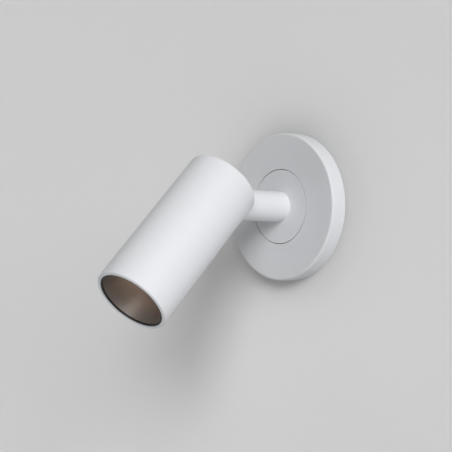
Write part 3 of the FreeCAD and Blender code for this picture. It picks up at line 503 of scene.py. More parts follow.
class Rule(Nodes):
    """A Geometry Nodes tree with named inputs, which ends in Realize Instances and Set Material."""

    def __init__(self, name, sizes):
        super().__init__(bpy.data.node_groups.new(name, "GeometryNodeTree"))
        sockets = self.tree.interface
        sockets.new_socket("Geometry", in_out="OUTPUT", socket_type=GEOMETRY)
        for label, kind in {"Geometry": GEOMETRY, **sizes, "Finish": MATERIAL}.items():
            sockets.new_socket(label, in_out="INPUT", socket_type=kind)
        self.given = self.tree.nodes.new("NodeGroupInput").outputs

    def end(self, geometry):
        real = self.result("GeometryNodeRealizeInstances", None, {"Geometry": geometry})
        coated = self.result("GeometryNodeSetMaterial", None, {
            "Geometry": real, "Material": self.given["Finish"]})
        self.node("NodeGroupOutput", None, {"Geometry": coated})
        return self.tree


def grid_rule():
    """Copies of the piece in rows and columns, from a first place."""
    rule = Rule("rows_and_columns", {"First": POINT, "Column": POINT, "Columns": COUNT,
                                     "Row": POINT, "Rows": COUNT})
    columns = rule.result("GeometryNodeMeshLine", {"mode": "OFFSET"}, {
        "Count": rule.given["Columns"], "Start Location": rule.given["First"],
        "Offset": rule.given["Column"]})
    one_row = rule.result("GeometryNodeInstanceOnPoints", None, {
        "Points": columns, "Instance": rule.given["Geometry"]})
    rows = rule.result("GeometryNodeMeshLine", {"mode": "OFFSET"}, {
        "Count": rule.given["Rows"], "Offset": rule.given["Row"]})
    return rule.end(rule.result("GeometryNodeInstanceOnPoints", None, {
        "Points": rows, "Instance": one_row}))


def thread_rule():
    """The piece with a V thread wound round its core along Y."""
    rule = Rule("screw_thread", {"Core": LENGTH, "Depth": LENGTH, "Start": POINT, "Length": LENGTH,
                                 "Windings": LENGTH})
    helix = rule.result("GeometryNodeCurveSpiral", None, {
        "Resolution": THREAD_STEPS, "Rotations": rule.given["Windings"],
        "Start Radius": rule.given["Core"], "End Radius": rule.given["Core"],
        "Height": rule.given["Length"]})
    upright = rule.result("GeometryNodeSetCurveNormal", {"mode": "Z_UP"}, {"Curve": helix})
    diamond = rule.result("GeometryNodeCurvePrimitiveCircle", {"mode": "RADIUS"}, {
        "Resolution": 4, "Radius": rule.given["Depth"]})
    ridge = rule.result("GeometryNodeCurveToMesh", None, {
        "Curve": upright, "Profile Curve": diamond, "Fill Caps": True})
    laid = rule.result("GeometryNodeTransform", None, {
        "Geometry": ridge, "Translation": rule.given["Start"], "Rotation": (math.radians(-90), 0.0, 0.0)})
    both = rule.node("GeometryNodeJoinGeometry")
    for part in (laid, rule.given["Geometry"]):
        rule.feed(both.inputs[0], part)
    return rule.end(both.outputs[0])


def lead_rule():
    """A round lead along a line of straight runs, its corners bent to a radius."""
    rule = Rule("bent_lead", {"Bend": LENGTH, "Radius": LENGTH})
    line = rule.result("GeometryNodeMeshToCurve", None, {"Mesh": rule.given["Geometry"]})
    bent = rule.result("GeometryNodeFilletCurve", {"mode": "POLY"}, {
        "Curve": line, "Radius": rule.given["Bend"], "Limit Radius": True, "Count": BEND_STEPS})
    circle = rule.result("GeometryNodeCurvePrimitiveCircle", {"mode": "RADIUS"}, {
        "Resolution": LEAD_SIDES, "Radius": rule.given["Radius"]})
    return rule.end(rule.result("GeometryNodeCurveToMesh", None, {
        "Curve": bent, "Profile Curve": circle, "Fill Caps": True}))


def grown(piece, tree, **sizes):
    """The piece with a tree applied; each input is set through its socket's identifier."""
    step = piece.modifiers.new("rule", "NODES")
    step.node_group = tree
    for socket in tree.interface.items_tree:
        if socket.in_out == "INPUT" and socket.name in sizes:
            step[socket.identifier] = sizes[socket.name]
    return settled(piece)


# ---- fasteners ----

THREAD = 0.45
CROSS_ARM = 0.12
SLOT_ARM = 0.1


class Fasteners:
    """Screws, nuts and leads. A screw or a nut lies along Y, its outer end towards -Y."""

    def __init__(self):
        self.grid = grid_rule()
        self.thread = thread_rule()
        self.lead = lead_rule()

    def repeated(self, piece, finish, first, column, columns=2, row=(0, 0, 0), rows=1):
        """Copies from the first place, a column and a row apart."""
        first, column, row = (Vector(v) * MM for v in (first, column, row))
        return grown(piece, self.grid, First=first, Column=column, Columns=columns, Row=row, Rows=rows,
                     Finish=FINISHES[finish])

    def threaded(self, piece, core, start, end, pitch, finish):
        """The piece with a thread round its core, from start to end."""
        return grown(piece, self.thread, Core=core * MM, Depth=THREAD * pitch * MM,
                     Start=Vector((0, start, 0)) * MM, Length=(end - start) * MM,
                     Windings=(end - start) / pitch, Finish=FINISHES[finish])

    def drive(self, kind, size, depth, top):
        """What cuts a hexagon, a cross or a slot into a head from its top."""
        above, below = top - 1.0, top + depth
        if kind == "hexagon":
            return [rod(size / math.sqrt(3), (0, above, 0), (0, below, 0), 6)]
        arm = size / 2
        if kind == "cross":
            thin = size * CROSS_ARM
            return [block((-x, above, -z), (x, below, z)) for x, z in ((arm, thin), (thin, arm))]
        return [block((-size, above, -size * SLOT_ARM), (size, below, size * SLOT_ARM))]

    def screw(self, head, height, shank, length, pitch, drive, finish, crown=0.4):
        """A headed screw, the underside of its head at 0, threaded from there to its point."""
        core = shank / 2 - THREAD * pitch
        tip = length - pitch
        piece = turned("screw", [
            (0, -height), (head / 2, -height, crown), (head / 2, 0, 0.1), (core, 0),
            (core, tip), (core - pitch / 2, length), (0, length),
        ], turns=SMALL_TURNS)
        cut(piece, *self.drive(*drive, -height))
        return self.threaded(piece, core, pitch, tip, pitch, finish)

    def headless(self, shank, length, pitch, drive, finish):
        """A grub screw from 0, its driven end, to its point."""
        core = shank / 2 - THREAD * pitch
        piece = turned("grub", [
            (0, 0), (core, 0, 0.15), (core, length - pitch), (core - pitch / 2, length), (0, length),
        ], turns=SMALL_TURNS)
        cut(piece, *self.drive(*drive, 0.0))
        return self.threaded(piece, core, pitch / 2, length - pitch, pitch, finish)

    def nut(self, flats, bore, thickness):
        """A hexagon nut from 0 to its thickness, its corners chamfered at both ends."""
        corner = flats / math.sqrt(3)
        face = flats / 2 - 0.2
        slant = (corner - face) * math.tan(math.radians(30))
        countersink = 0.35
        piece = rod(corner, (0, 0, 0), (0, thickness, 0), 6)
        combined(piece, "INTERSECT", turned("cap", [
            (0, 0), (face, 0), (corner, slant), (corner, thickness - slant), (face, thickness),
            (0, thickness),
        ], turns=SMALL_TURNS))
        return cut(piece, turned("bore", [
            (0, -1), (bore + countersink, -1), (bore + countersink, 0), (bore, countersink),
            (bore, thickness - countersink), (bore + countersink, thickness),
            (bore + countersink, thickness + 1), (0, thickness + 1),
        ], turns=SMALL_TURNS))

    def bent_lead(self, points, radius, bend, finish):
        """A lead of that radius along the points."""
        mesh = bpy.data.meshes.new("lead")
        edges = [(index, index + 1) for index in range(len(points) - 1)]
        mesh.from_pydata([Vector(p) * MM for p in points], edges, [])
        line = bpy.data.objects.new("lead", mesh)
        bpy.context.scene.collection.objects.link(line)
        return grown(line, self.lead, Bend=bend * MM, Radius=radius * MM, Finish=FINISHES[finish])


fasteners = Fasteners()


# ---- fixed to the wall ----

SHEET = 1.5
HAT_RADIUS = 20.0
HAT_FRONT = -6.4
HAT_BACK = HAT_FRONT + SHEET
BRACKET_RADIUS = 44.0
NIPPLE_RADIUS = 5.0
NIPPLE_BORE = 5.05
GRUB_AT = -4.0
GRUB_HOLE = 1.6
GRUB_SHANK = 3.0
GRUB_PITCH = 0.5
GRUB_SOCKET = ("hexagon", 1.5, 1.5)
BLOCK_AT = -35.0
BLOCK_WAYS = (-8.0, 0.0, 8.0)
BLOCK_SCREWS = (-4.0, 4.0)
BLOCK_SEAT = -4.5
BLOCK_HOLE = 1.3
TERMINAL_ROW = 3.0
EARTH_AT = 34.0 * math.cos(math.radians(45))
EARTH_HOLE = 1.85
STOP_RADIUS = 17.0
WASHER_BORE = 5.1
SEAM = 0.5
SEAM_BEVEL = 0.12


def wall_plate():
    """The spun cover, with its collar, the groove for the hook and the grub screw's hole."""
    low, high = reach("wall_plate")
    rim, face = high.x, low.y
    wall, edge, back_edge, collar_wall, collar_depth = 2.5, 1.6, 0.7, 2.0, 5.0
    groove_back, groove_front, groove_depth = -5.9, -8.5, 1.0
    hole = reach("swivel_disc")[1].x + SEAM
    inside = rim - wall
    collar = hole + collar_wall
    piece = turned("plate_cover", [
        (hole, face, SEAM_BEVEL), (rim, face, edge), (rim, 0.0, back_edge), (inside, 0.0, 0.3),
        (inside, groove_back, 0.1), (inside + groove_depth, groove_back),
        (inside + groove_depth, groove_front), (inside, groove_front, 0.1),
        (inside, face + wall, 0.8), (collar, face + wall, 0.5),
        (collar, face + collar_depth, 0.2), (hole, face + collar_depth, 0.2),
    ], turns=FINE_TURNS)
    return cut(piece, rod(GRUB_HOLE, (0, GRUB_AT, -rim - 1), (0, GRUB_AT, 1 - inside)))


def mounting_bracket():
    """Pressed sheet with a raised middle, bent tabs, a hook and a pip that stops the swivel."""
    piece = turned("bracket", [
        (NIPPLE_BORE, HAT_FRONT), (HAT_RADIUS, HAT_FRONT, 1.2), (HAT_RADIUS, -SHEET, 0.6),
        (BRACKET_RADIUS, -SHEET, 0.3), (BRACKET_RADIUS, 0.0, 0.3), (HAT_RADIUS - SHEET, 0.0, 1.2),
        (HAT_RADIUS - SHEET, HAT_BACK, 0.6), (NIPPLE_BORE, HAT_BACK),
    ])
    tab, tab_root, tab_end = 5.0, -0.8, -8.0
    tab_inside, hook_half, hook_tip, bend = BRACKET_RADIUS - SHEET, 4.0, 48.0, 0.3
    upper = softened(block((-tab, tab_end, tab_inside), (tab, tab_root, BRACKET_RADIUS)), bend)
    lower = softened(block((-tab, tab_end, -BRACKET_RADIUS), (tab, tab_root, -tab_inside)), bend)
    hook = softened(block((-hook_half, tab_end, tab_inside + 0.4),
                          (hook_half, tab_end + SHEET, hook_tip)), bend)
    pip_radius, pip_top, pip_root = 1.5, HAT_FRONT - 1.2, HAT_BACK - 0.2
    pip = turned("pip", [(0, pip_top), (pip_radius, pip_top, 0.4), (pip_radius, pip_root), (0, pip_root)],
                 turns=SMALL_TURNS, axis=place(0, 0, -STOP_RADIUS))
    joined(piece, upper, lower, hook, pip)
    slot_centres, slot_length, slot_width, cable_at, cable_radius = 60.3, 10.0, 4.5, 32.0, 5.0
    back, front = 1.0, -SHEET - 1.0
    holes = [rod(BLOCK_HOLE, (x, back, BLOCK_AT), (x, front, BLOCK_AT)) for x in BLOCK_SCREWS]
    holes += [obround(side * slot_centres / 2, 0, slot_length, slot_width, front, back)
              for side in (-1, 1)]
    holes.append(rod(cable_radius, (0, back, cable_at), (0, front, cable_at)))
    holes.append(rod(EARTH_HOLE, (EARTH_AT, back, EARTH_AT), (EARTH_AT, front, EARTH_AT)))
    holes.append(rod(GRUB_HOLE, (0, GRUB_AT, -BRACKET_RADIUS - 1), (0, GRUB_AT, SHEET - tab_inside)))
    return cut(piece, *holes)


def plate_grub_screw():
    low, high = reach("plate_grub_screw")
    piece = fasteners.headless(GRUB_SHANK, high.z - low.z, GRUB_PITCH, GRUB_SOCKET, "black_steel")
    return moved(piece, place(0, GRUB_AT, low.z) @ Y_TO_Z)


def terminal_block():
    """Moulded block with a tunnel for each wire, screw wells and wells for its own screws."""
    low, high = reach("terminal_block")
    piece = softened(block(low, high), 0.5)
    above, wires, tunnel, well, head_well = low.y - 1, -4.0, 1.3, 1.6, 1.9
    cutters = []
    for x in BLOCK_WAYS:
        cutters.append(rod(tunnel, (x, wires, low.z - 1), (x, wires, high.z + 1)))
        for z in (BLOCK_AT - TERMINAL_ROW, BLOCK_AT + TERMINAL_ROW):
            cutters.append(rod(well, (x, above, z), (x, wires, z)))
    for x in BLOCK_SCREWS:
        cutters.append(rod(head_well, (x, above, BLOCK_AT), (x, BLOCK_SEAT, BLOCK_AT)))
        cutters.append(rod(BLOCK_HOLE, (x, above, BLOCK_AT), (x, 0, BLOCK_AT)))
    return cut(piece, *cutters)


def terminal_screws():
    top = reach("terminal_screws")[0].y
    piece = fasteners.headless(shank=3.0, length=2.2, pitch=0.5, drive=("slot", 3.0, 0.9), finish="brass")
    return fasteners.repeated(piece, "brass", (BLOCK_WAYS[0], top, BLOCK_AT - TERMINAL_ROW),
                              (BLOCK_WAYS[1] - BLOCK_WAYS[0], 0, 0), len(BLOCK_WAYS),
                              (0, 0, 2 * TERMINAL_ROW), 2)


def terminal_fixing_screws():
    piece = fasteners.screw(head=3.6, height=1.4, shank=2.4, length=4.4, pitch=0.45,
                            drive=("cross", 2.1, 0.84), finish="zinc_steel")
    return fasteners.repeated(piece, "zinc_steel", (BLOCK_SCREWS[0], BLOCK_SEAT, BLOCK_AT),
                              (BLOCK_SCREWS[1] - BLOCK_SCREWS[0], 0, 0))


def earth_screw():
    seat = reach("earth_washer")[0].y
    piece = fasteners.screw(head=6.4, height=2.0, shank=3.5, length=2.0, pitch=0.6,
                            drive=("cross", 3.8, 1.5), finish="brass", crown=0.7)
    return moved(piece, place(EARTH_AT, seat, EARTH_AT))


def earth_washer():
    low, high = reach("earth_washer")
    outer = 4.0
    return turned("washer", [
        (EARTH_HOLE, high.y, 0.1), (outer, high.y, 0.15), (outer, low.y, 0.15),
        (EARTH_HOLE, low.y, 0.1),
    ], turns=SMALL_TURNS, axis=place(EARTH_AT, 0, EARTH_AT))


def thrust_washer():
    low, high = reach("thrust_washer")
    return turned("washer", [
        (WASHER_BORE, high.y, 0.2), (high.x, high.y, 0.3), (high.x, low.y, 0.3),
        (WASHER_BORE, low.y, 0.2),
    ])


# ---- turns with the stem ----

STEM_BORE = 2.6
SOCKET_END = -24.1
SHOULDER = -66.5
TONGUE_HALF = 4.6
TONGUE_RADIUS = 9.0
LEAD_RADIUS = 1.5
LEAD_EXIT = 8.0
PIVOT_HOLE = 2.55


def swivel_disc():
    """The disc that lies flush in the cover's hole, inside its thin seam."""
    low, high = reach("swivel_disc")
    piece = turned("disc", [
        (NIPPLE_BORE, high.y, 0.1), (high.x, high.y, 0.2), (high.x, low.y, SEAM_BEVEL),
        (NIPPLE_BORE, low.y),
    ], turns=FINE_TURNS)
    pin_hole, pin_depth = 1.05, 2.1
    return cut(piece, rod(pin_hole, (0, high.y + 1, STOP_RADIUS), (0, high.y - pin_depth, STOP_RADIUS)))


def stop_pin():
    low, high = reach("stop_pin")
    radius = 1.0
    return turned("pin", [(0, low.y), (radius, low.y, 0.2), (radius, high.y, 0.2), (0, high.y)],
                  turns=SMALL_TURNS, axis=place(0, 0, (low.z + high.z) / 2))


def swivel_nipple():
    """The hollow threaded tube that ties the stem to the bracket."""
    low, high = reach("swivel_nipple")
    pitch, bore = 1.0, 3.5
    core = NIPPLE_RADIUS - THREAD * pitch
    piece = turned("nipple", [
        (bore, high.y, 0.2), (core, high.y, 0.2), (core, low.y, 0.2), (bore, low.y, 0.2),
    ], turns=ROUND_TURNS)
    return fasteners.threaded(piece, core, low.y + pitch, high.y - pitch / 2, pitch, "zinc_steel")


def wave_washer():
    """Thin spring sheet with three waves."""
    low, high = reach("wave_washer")
    sheet, waves = 0.35, 3
    middle = (low.y + high.y) / 2
    piece = turned("wave", [
        (WASHER_BORE, middle + sheet / 2, 0.1), (high.x, middle + sheet / 2, 0.1),
        (high.x, middle - sheet / 2, 0.1), (WASHER_BORE, middle - sheet / 2, 0.1),
    ], turns=ROUND_TURNS)
    height = (high.y - low.y - sheet) / 2 * MM
    for vertex in piece.data.vertices:
        vertex.co.y += height * math.sin(waves * math.atan2(vertex.co.x, vertex.co.z))
    return piece


def swivel_nut():
    low, high = reach("swivel_nut")
    piece = fasteners.nut(high.x - low.x, NIPPLE_BORE, high.y - low.y)
    return moved(piece, place(0, low.y, 0))


def stem():
    """The round post and its flat tongue, bored for the lead and the pivot bolt."""
    high = reach("stem")[1]
    pivot = PIVOT.y / MM
    piece = turned("post", [
        (0, high.y), (high.x, high.y), (high.x, SHOULDER, 0.5), (0, SHOULDER),
    ])
    tongue = prism("tongue", arc(pivot, 0, TONGUE_RADIUS, 90, 270, 48) + [
        (SHOULDER + 1, -TONGUE_RADIUS), (SHOULDER + 1, TONGUE_RADIUS)],
        -TONGUE_HALF, TONGUE_HALF, XY_TO_YZ)
    joined(piece, softened(tongue, 0.4))
    exit_at, exit_radius, beyond = pivot + LEAD_EXIT, 2.3, 12.0
    return cut(piece,
               rod(NIPPLE_BORE, (0, high.y + 1, 0), (0, SOCKET_END, 0), ROUND_TURNS),
               rod(STEM_BORE, (0, SOCKET_END + 1, 0), (0, exit_at - STEM_BORE, 0), BORE_TURNS),
               rod(exit_radius, (0, exit_at, 0), (0, exit_at, beyond), BORE_TURNS),
               rod(PIVOT_HOLE, (-beyond, pivot, 0), (beyond, pivot, 0), BORE_TURNS))


def stem_lead():
    high = reach("stem_lead")[1]
    exit_at = PIVOT.y / MM + LEAD_EXIT
    points = [(0, high.y, 0), (0, exit_at, 0), (0, exit_at, high.z)]
    return fasteners.bent_lead(points, LEAD_RADIUS, 2.2, "lead_sheath")


# ---- tilts with the head ----

HEAD_RADIUS = 25.0
HEAD_INSIDE = 22.6
REAR = 19.5
REAR_WALL = 3.0
MOUTH = -88.0
SLOT_HALF = 10.75
CHEEK_INSIDE = 5.4
CHEEK_OUTSIDE = 9.4
CHEEK_RADIUS = 10.0
WEB_FRONT = -12.7
WEB_BACK = -10.7
YOKE_SCREWS = 13.5
HOLDER_SCREWS = 14.2
SCREW_HOLE = 1.6
LEAD_OFFSET = 6.5
LEAD_HOLE = 1.8
SCREW_DEPTH = 3.7
SINK_FRONT = -42.5
BOARD_FRONT = -44.1
BOARD_RADIUS = 17.0
LENS_BACK = -46.5
HOLDER_FRONT = -48.5
HOLDER_SUNK = 1.9
BOLT_TIP = 15.4
FRICTION_BORE = 2.6
HEAD_GRUB = -40.2
GRUB_RECESS = 0.7
HEAD_GRUB_LENGTH = 6.0
RING_BACK = -86.7


def pair(radius, x, start, end):
    """Two rods along the head's axis, one each side of it."""
    return [rod(radius, (side * x, start, 0), (side * x, end, 0)) for side in (-1, 1)]


def head_can():
    """The tube, closed at the rear and slotted for the stem from there down one side."""
    piece = turned("tube", [
        (0.0, REAR), (HEAD_RADIUS, REAR, 1.5), (HEAD_RADIUS, MOUTH, 1.02), (HEAD_INSIDE, MOUTH, 0.1),
        (HEAD_INSIDE, REAR - REAR_WALL, 0.8), (0.0, REAR - REAR_WALL),
    ], turns=FINE_TURNS)
    down = -HEAD_RADIUS - 2
    slot = prism("slot", arc(0, 0, SLOT_HALF, 180, 360, 48) + [
        (SLOT_HALF, REAR + 2), (-SLOT_HALF, REAR + 2)], down, 0.0)
    rear = rod(SLOT_HALF, (0, 0, 0), (0, REAR + 2, 0), ROUND_TURNS)
    cut(piece, slot, rear)
    return cut(piece, rod(GRUB_HOLE, (0, HEAD_GRUB, down), (0, HEAD_GRUB, 2 - HEAD_INSIDE)))


def yoke():
    """Two cheeks on a web, bored for the pivot bolt, the lead and two screws."""
    web_half, beyond = 17.0, 12.0
    piece = block((-web_half, WEB_FRONT, -CHEEK_RADIUS), (web_half, WEB_BACK, CHEEK_RADIUS))
    root = WEB_FRONT + 1
    corners = arc(0, 0, CHEEK_RADIUS, -90, 90, 36) + [(root, CHEEK_RADIUS), (root, -CHEEK_RADIUS)]
    joined(piece, prism("cheek", corners, CHEEK_INSIDE, CHEEK_OUTSIDE, XY_TO_YZ),
           prism("cheek", corners, -CHEEK_OUTSIDE, -CHEEK_INSIDE, XY_TO_YZ))
    softened(piece, 0.3)
    return cut(piece, rod(PIVOT_HOLE, (-beyond, 0, 0), (beyond, 0, 0)),
               rod(LEAD_HOLE, (0, WEB_BACK + 1, LEAD_OFFSET), (0, WEB_FRONT - 1, LEAD_OFFSET)),
               *pair(SCREW_HOLE, YOKE_SCREWS, WEB_BACK + 1, WEB_FRONT - 1))


def yoke_screws():
    piece = fasteners.screw(head=5.5, height=1.8, shank=3.0, length=5.6, pitch=0.5,
                            drive=("hexagon", 2.4, 1.1), finish="zinc_steel", crown=0.3)
    moved(piece, Y_BACKWARDS)
    return fasteners.repeated(piece, "zinc_steel", (-YOKE_SCREWS, WEB_BACK, 0), (2 * YOKE_SCREWS, 0, 0))


def pivot_bolt():
    """Button-headed bolt, plain where it turns in the tongue and threaded under its nut."""
    shank, end, pitch = 2.5, CHEEK_OUTSIDE + BOLT_TIP, 0.8
    button, crown, brim, top = 4.5, 3.0, -1.1, -2.8
    core = shank - THREAD * pitch
    grip = 2 * CHEEK_OUTSIDE
    piece = turned("bolt", [
        (0, top), (crown, top, 0.3), (button, brim, 0.8), (button, 0, 0.15), (shank, 0),
        (shank, grip), (core, grip), (core, end - 0.5), (core - 0.4, end), (0, end),
    ], turns=BORE_TURNS)
    cut(piece, *fasteners.drive("hexagon", 3.0, 1.7, top))
    fasteners.threaded(piece, core, grip + pitch, end - pitch, pitch, "zinc_steel")
    return moved(piece, place(CHEEK_OUTSIDE, 0, 0) @ Y_TO_MINUS_X)


def pivot_nut():
    seat = -10.6
    piece = fasteners.nut(flats=8.0, bore=PIVOT_HOLE, thickness=4.0)
    return moved(piece, place(seat, 0, 0) @ Y_TO_MINUS_X)


def friction_washers():
    outer, near, far = 8.0, 4.7, CHEEK_INSIDE
    sides = [[(FRICTION_BORE, side * near), (outer, side * near, 0.15), (outer, side * far, 0.15),
              (FRICTION_BORE, side * far)] for side in (-1, 1)]
    return turned("washers", *sides, turns=ROUND_TURNS, axis=Y_TO_X)


def spring_washers():
    """Two cupped washers back to back."""
    outer, sheet, cup, gap = 5.0, 0.45, 0.15, 0.01
    middle = CHEEK_OUTSIDE + sheet + cup
    cups = []
    for side in (-1, 1):
        cups.append([
            (FRICTION_BORE, middle + side * (sheet + cup)), (FRICTION_BORE, middle + side * cup),
            (outer, middle + side * gap, 0.08), (outer, middle + side * sheet, 0.08),
        ])
    return turned("cups", *cups, turns=ROUND_TURNS, axis=Y_TO_MINUS_X)


def heat_sink():
    """Turned fins on a core between two thicker discs, drilled for screws and the lead."""
    front, back = SINK_FRONT, WEB_FRONT
    rim, core, first_disc, groove, pitch, grooves = 22.3, 9.0, 4.0, 2.8, 4.6, 5
    outline = [(0, back), (rim, back, 0.4)]
    for count in range(grooves):
        start = back - first_disc - count * pitch
        outline += [(rim, start, 0.2), (core, start, 0.5), (core, start - groove, 0.5),
                    (rim, start - groove, 0.2)]
    outline += [(rim, front, 0.4), (0, front)]
    piece = turned("sink", outline, turns=ROUND_TURNS)
    return cut(piece, rod(LEAD_HOLE, (0, back + 1, LEAD_OFFSET), (0, front - 1, LEAD_OFFSET)),
               *pair(SCREW_HOLE, YOKE_SCREWS, back + 1, back - SCREW_DEPTH),
               *pair(SCREW_HOLE, HOLDER_SCREWS, front - 1, front + SCREW_DEPTH),
               rod(GRUB_HOLE, (0, HEAD_GRUB, -rim - 1), (0, HEAD_GRUB, HEAD_GRUB_LENGTH - rim)))


def head_grub_screw():
    piece = fasteners.headless(GRUB_SHANK, HEAD_GRUB_LENGTH, GRUB_PITCH, GRUB_SOCKET, "black_steel")
    return moved(piece, place(0, HEAD_GRUB, GRUB_RECESS - HEAD_RADIUS) @ Y_TO_Z)


def led_board():
    back, front = SINK_FRONT, BOARD_FRONT
    piece = turned("board", [
        (0, back), (BOARD_RADIUS, back, 0.1), (BOARD_RADIUS, front, 0.1), (0, front),
    ], turns=ROUND_TURNS)
    return cut(piece, rod(LEAD_HOLE, (0, back + 1, LEAD_OFFSET), (0, front - 1, LEAD_OFFSET)),
               *pair(SCREW_HOLE, HOLDER_SCREWS, back + 1, front - 1))


def led_emitter():
    """The round dam and the gel in it, a little lower than the dam's top."""
    outside, dam_outside, dam_inside, gel = 4.5, 3.9, 3.5, 3.3
    top = BOARD_FRONT - 1.2
    return turned("emitter", [
        (0, BOARD_FRONT), (outside, BOARD_FRONT), (outside, top + 0.6, 0.1), (dam_outside, top, 0.2),
        (dam_inside, top, 0.1), (gel, top + 0.25, 0.1), (0, top + 0.15),
    ], turns=ROUND_TURNS)


def led_holder():
    """Clamps the board, holds the lens in its seat, and sinks its two screws."""
    seat, bore, head_well = 11.1, 8.0, 2.85
    piece = turned("holder", [
        (bore, BOARD_FRONT, 0.2), (BOARD_RADIUS, BOARD_FRONT, 0.2), (BOARD_RADIUS, HOLDER_FRONT, 0.6),
        (seat, HOLDER_FRONT, 0.2), (seat, LENS_BACK), (bore, LENS_BACK, 0.3),
    ], turns=ROUND_TURNS)
    return cut(piece, *pair(head_well, HOLDER_SCREWS, HOLDER_FRONT - 1, HOLDER_FRONT + HOLDER_SUNK),
               *pair(SCREW_HOLE, HOLDER_SCREWS, HOLDER_FRONT - 1, BOARD_FRONT + 1))


def led_holder_screws():
    seat = HOLDER_FRONT + HOLDER_SUNK
    piece = fasteners.screw(head=5.5, height=1.8, shank=3.0, length=7.7, pitch=0.5,
                            drive=("cross", 3.3, 1.3), finish="zinc_steel")
    return fasteners.repeated(piece, "zinc_steel", (-HOLDER_SCREWS, seat, 0), (2 * HOLDER_SCREWS, 0, 0))


def lens():
    radius, front = 11.0, -47.9
    return turned("lens", [(0, LENS_BACK), (radius, LENS_BACK, 0.2), (radius, front + 0.1, 0.4),
                           (0, front)], turns=ROUND_TURNS)


def reflector():
    """Bowl with a curved side of even wall and a foot on the holder."""
    throat, mouth = Vector((9.5, HOLDER_FRONT)), Vector((21.63, RING_BACK))
    curve, wall, foot, steps = 90.0, 0.7, 13.0, 40
    chord = mouth - throat
    rise = math.sqrt(curve ** 2 - (chord.length / 2) ** 2)
    centre = throat + chord / 2 + Vector((chord.y, -chord.x)).normalized() * rise

    def side(radius, first, last):
        stations = [first + (last - first) * step / steps for step in range(steps + 1)]
        return [(centre.x + math.sqrt(radius ** 2 - (s - centre.y) ** 2), s) for s in stations]

    foot_front = throat.y - wall
    outline = side(curve, throat.y, mouth.y) + side(curve + wall, mouth.y, foot_front)
    outline += [(foot, foot_front), (foot, throat.y)]
    return turned("bowl", outline)


def trim_ring():
    inner, outer, front = 21.5, HEAD_INSIDE - 0.02, MOUTH + 0.1
    return turned("ring", [
        (inner, RING_BACK), (outer, RING_BACK), (outer, front, 0.05), (inner, front, 0.2),
    ])


def head_lead():
    start, middle = -8.7, -26.0
    points = [(0, station, LEAD_OFFSET) for station in (start, middle, BOARD_FRONT)]
    return fasteners.bent_lead(points, LEAD_RADIUS, 1.0, "lead_sheath")


# for each CAD node, what makes the piece that stands for it, and the piece's name
PIECES = {
    "wall_plate": (wall_plate, "plate_cover"),
    "mounting_bracket": (mounting_bracket, "pressed_bracket"),
    "plate_grub_screw": (plate_grub_screw, "cover_grub_screw"),
    "terminal_block": (terminal_block, "wire_block"),
    "terminal_screws": (terminal_screws, "wire_screws"),
    "terminal_fixing_screws": (terminal_fixing_screws, "block_screws"),
    "earth_screw": (earth_screw, "earthing_screw"),
    "earth_washer": (earth_washer, "earthing_washer"),
    "thrust_washer": (thrust_washer, "slip_washer"),
    "swivel_disc": (swivel_disc, "swivel_plate"),
    "stop_pin": (stop_pin, "stop_peg"),
    "swivel_nipple": (swivel_nipple, "threaded_nipple"),
    "wave_washer": (wave_washer, "waved_washer"),
    "swivel_nut": (swivel_nut, "thin_nut"),
    "stem": (stem, "stem_post"),
    "stem_lead": (stem_lead, "post_lead"),
    "head_can": (head_can, "head_tube"),
    "yoke": (yoke, "knuckle_yoke"),
    "yoke_screws": (yoke_screws, "socket_screws"),
    "pivot_bolt": (pivot_bolt, "button_bolt"),
    "pivot_nut": (pivot_nut, "bolt_nut"),
    "friction_washers": (friction_washers, "brake_washers"),
    "spring_washers": (spring_washers, "cupped_washers"),
    "heat_sink": (heat_sink, "finned_sink"),
    "head_grub_screw": (head_grub_screw, "tube_grub_screw"),
    "led_board": (led_board, "source_board"),
    "led_emitter": (led_emitter, "light_source"),
    "led_holder": (led_holder, "source_holder"),
    "led_holder_screws": (led_holder_screws, "holder_screws"),
    "lens": (lens, "frosted_disc"),
    "reflector": (reflector, "reflector_bowl"),
    "trim_ring": (trim_ring, "mouth_ring"),
    "head_lead": (head_lead, "sink_lead"),
}


# ---- room ----

ROOM_GREY = 0.6
SEEN_GREY = 0.98
SEEN_LIFT = 0.02
# painted shade on the wall round the plate: how dark it is at the plate's edge, and over how many millimetres it
# fades
PAINTED_SHADE_DEPTH = 0.35
PAINTED_SHADE_SPREAD = 12.0
WALL_HALF = 1.4
WALL_HOLE = 0.046
FLOOR_AT = -0.55


def seen(nodes):
    """1 for what the camera sees, directly, in metal or through glass, and 0 for light on its way."""
    path = nodes.node("ShaderNodeLightPath").outputs
    total = Value(nodes, path["Is Camera Ray"]) + Value(nodes, path["Is Glossy Ray"])
    return total.maths("MAXIMUM", total, Value(nodes, path["Is Transmission Ray"]))


def painted_contact_shade(finish):
    """Painted shade: how much darker the wall's colour is made close round the plate, fading out over a few
    centimetres.
    """
    flat = finish.result("ShaderNodeMapping", None, {"Vector": finish.place(), "Scale": (1.0, 0.0, 1.0)})
    length = finish.node("ShaderNodeVectorMath", {"operation": "LENGTH"}, {"Vector": flat})
    distance = Value(finish, length.outputs["Value"])
    plate_edge = reach("wall_plate")[1].x
    fade = (plate_edge * MM - distance) * (1.0 / (PAINTED_SHADE_SPREAD * MM))
    return PAINTED_SHADE_DEPTH * fade.maths("EXPONENT", fade)


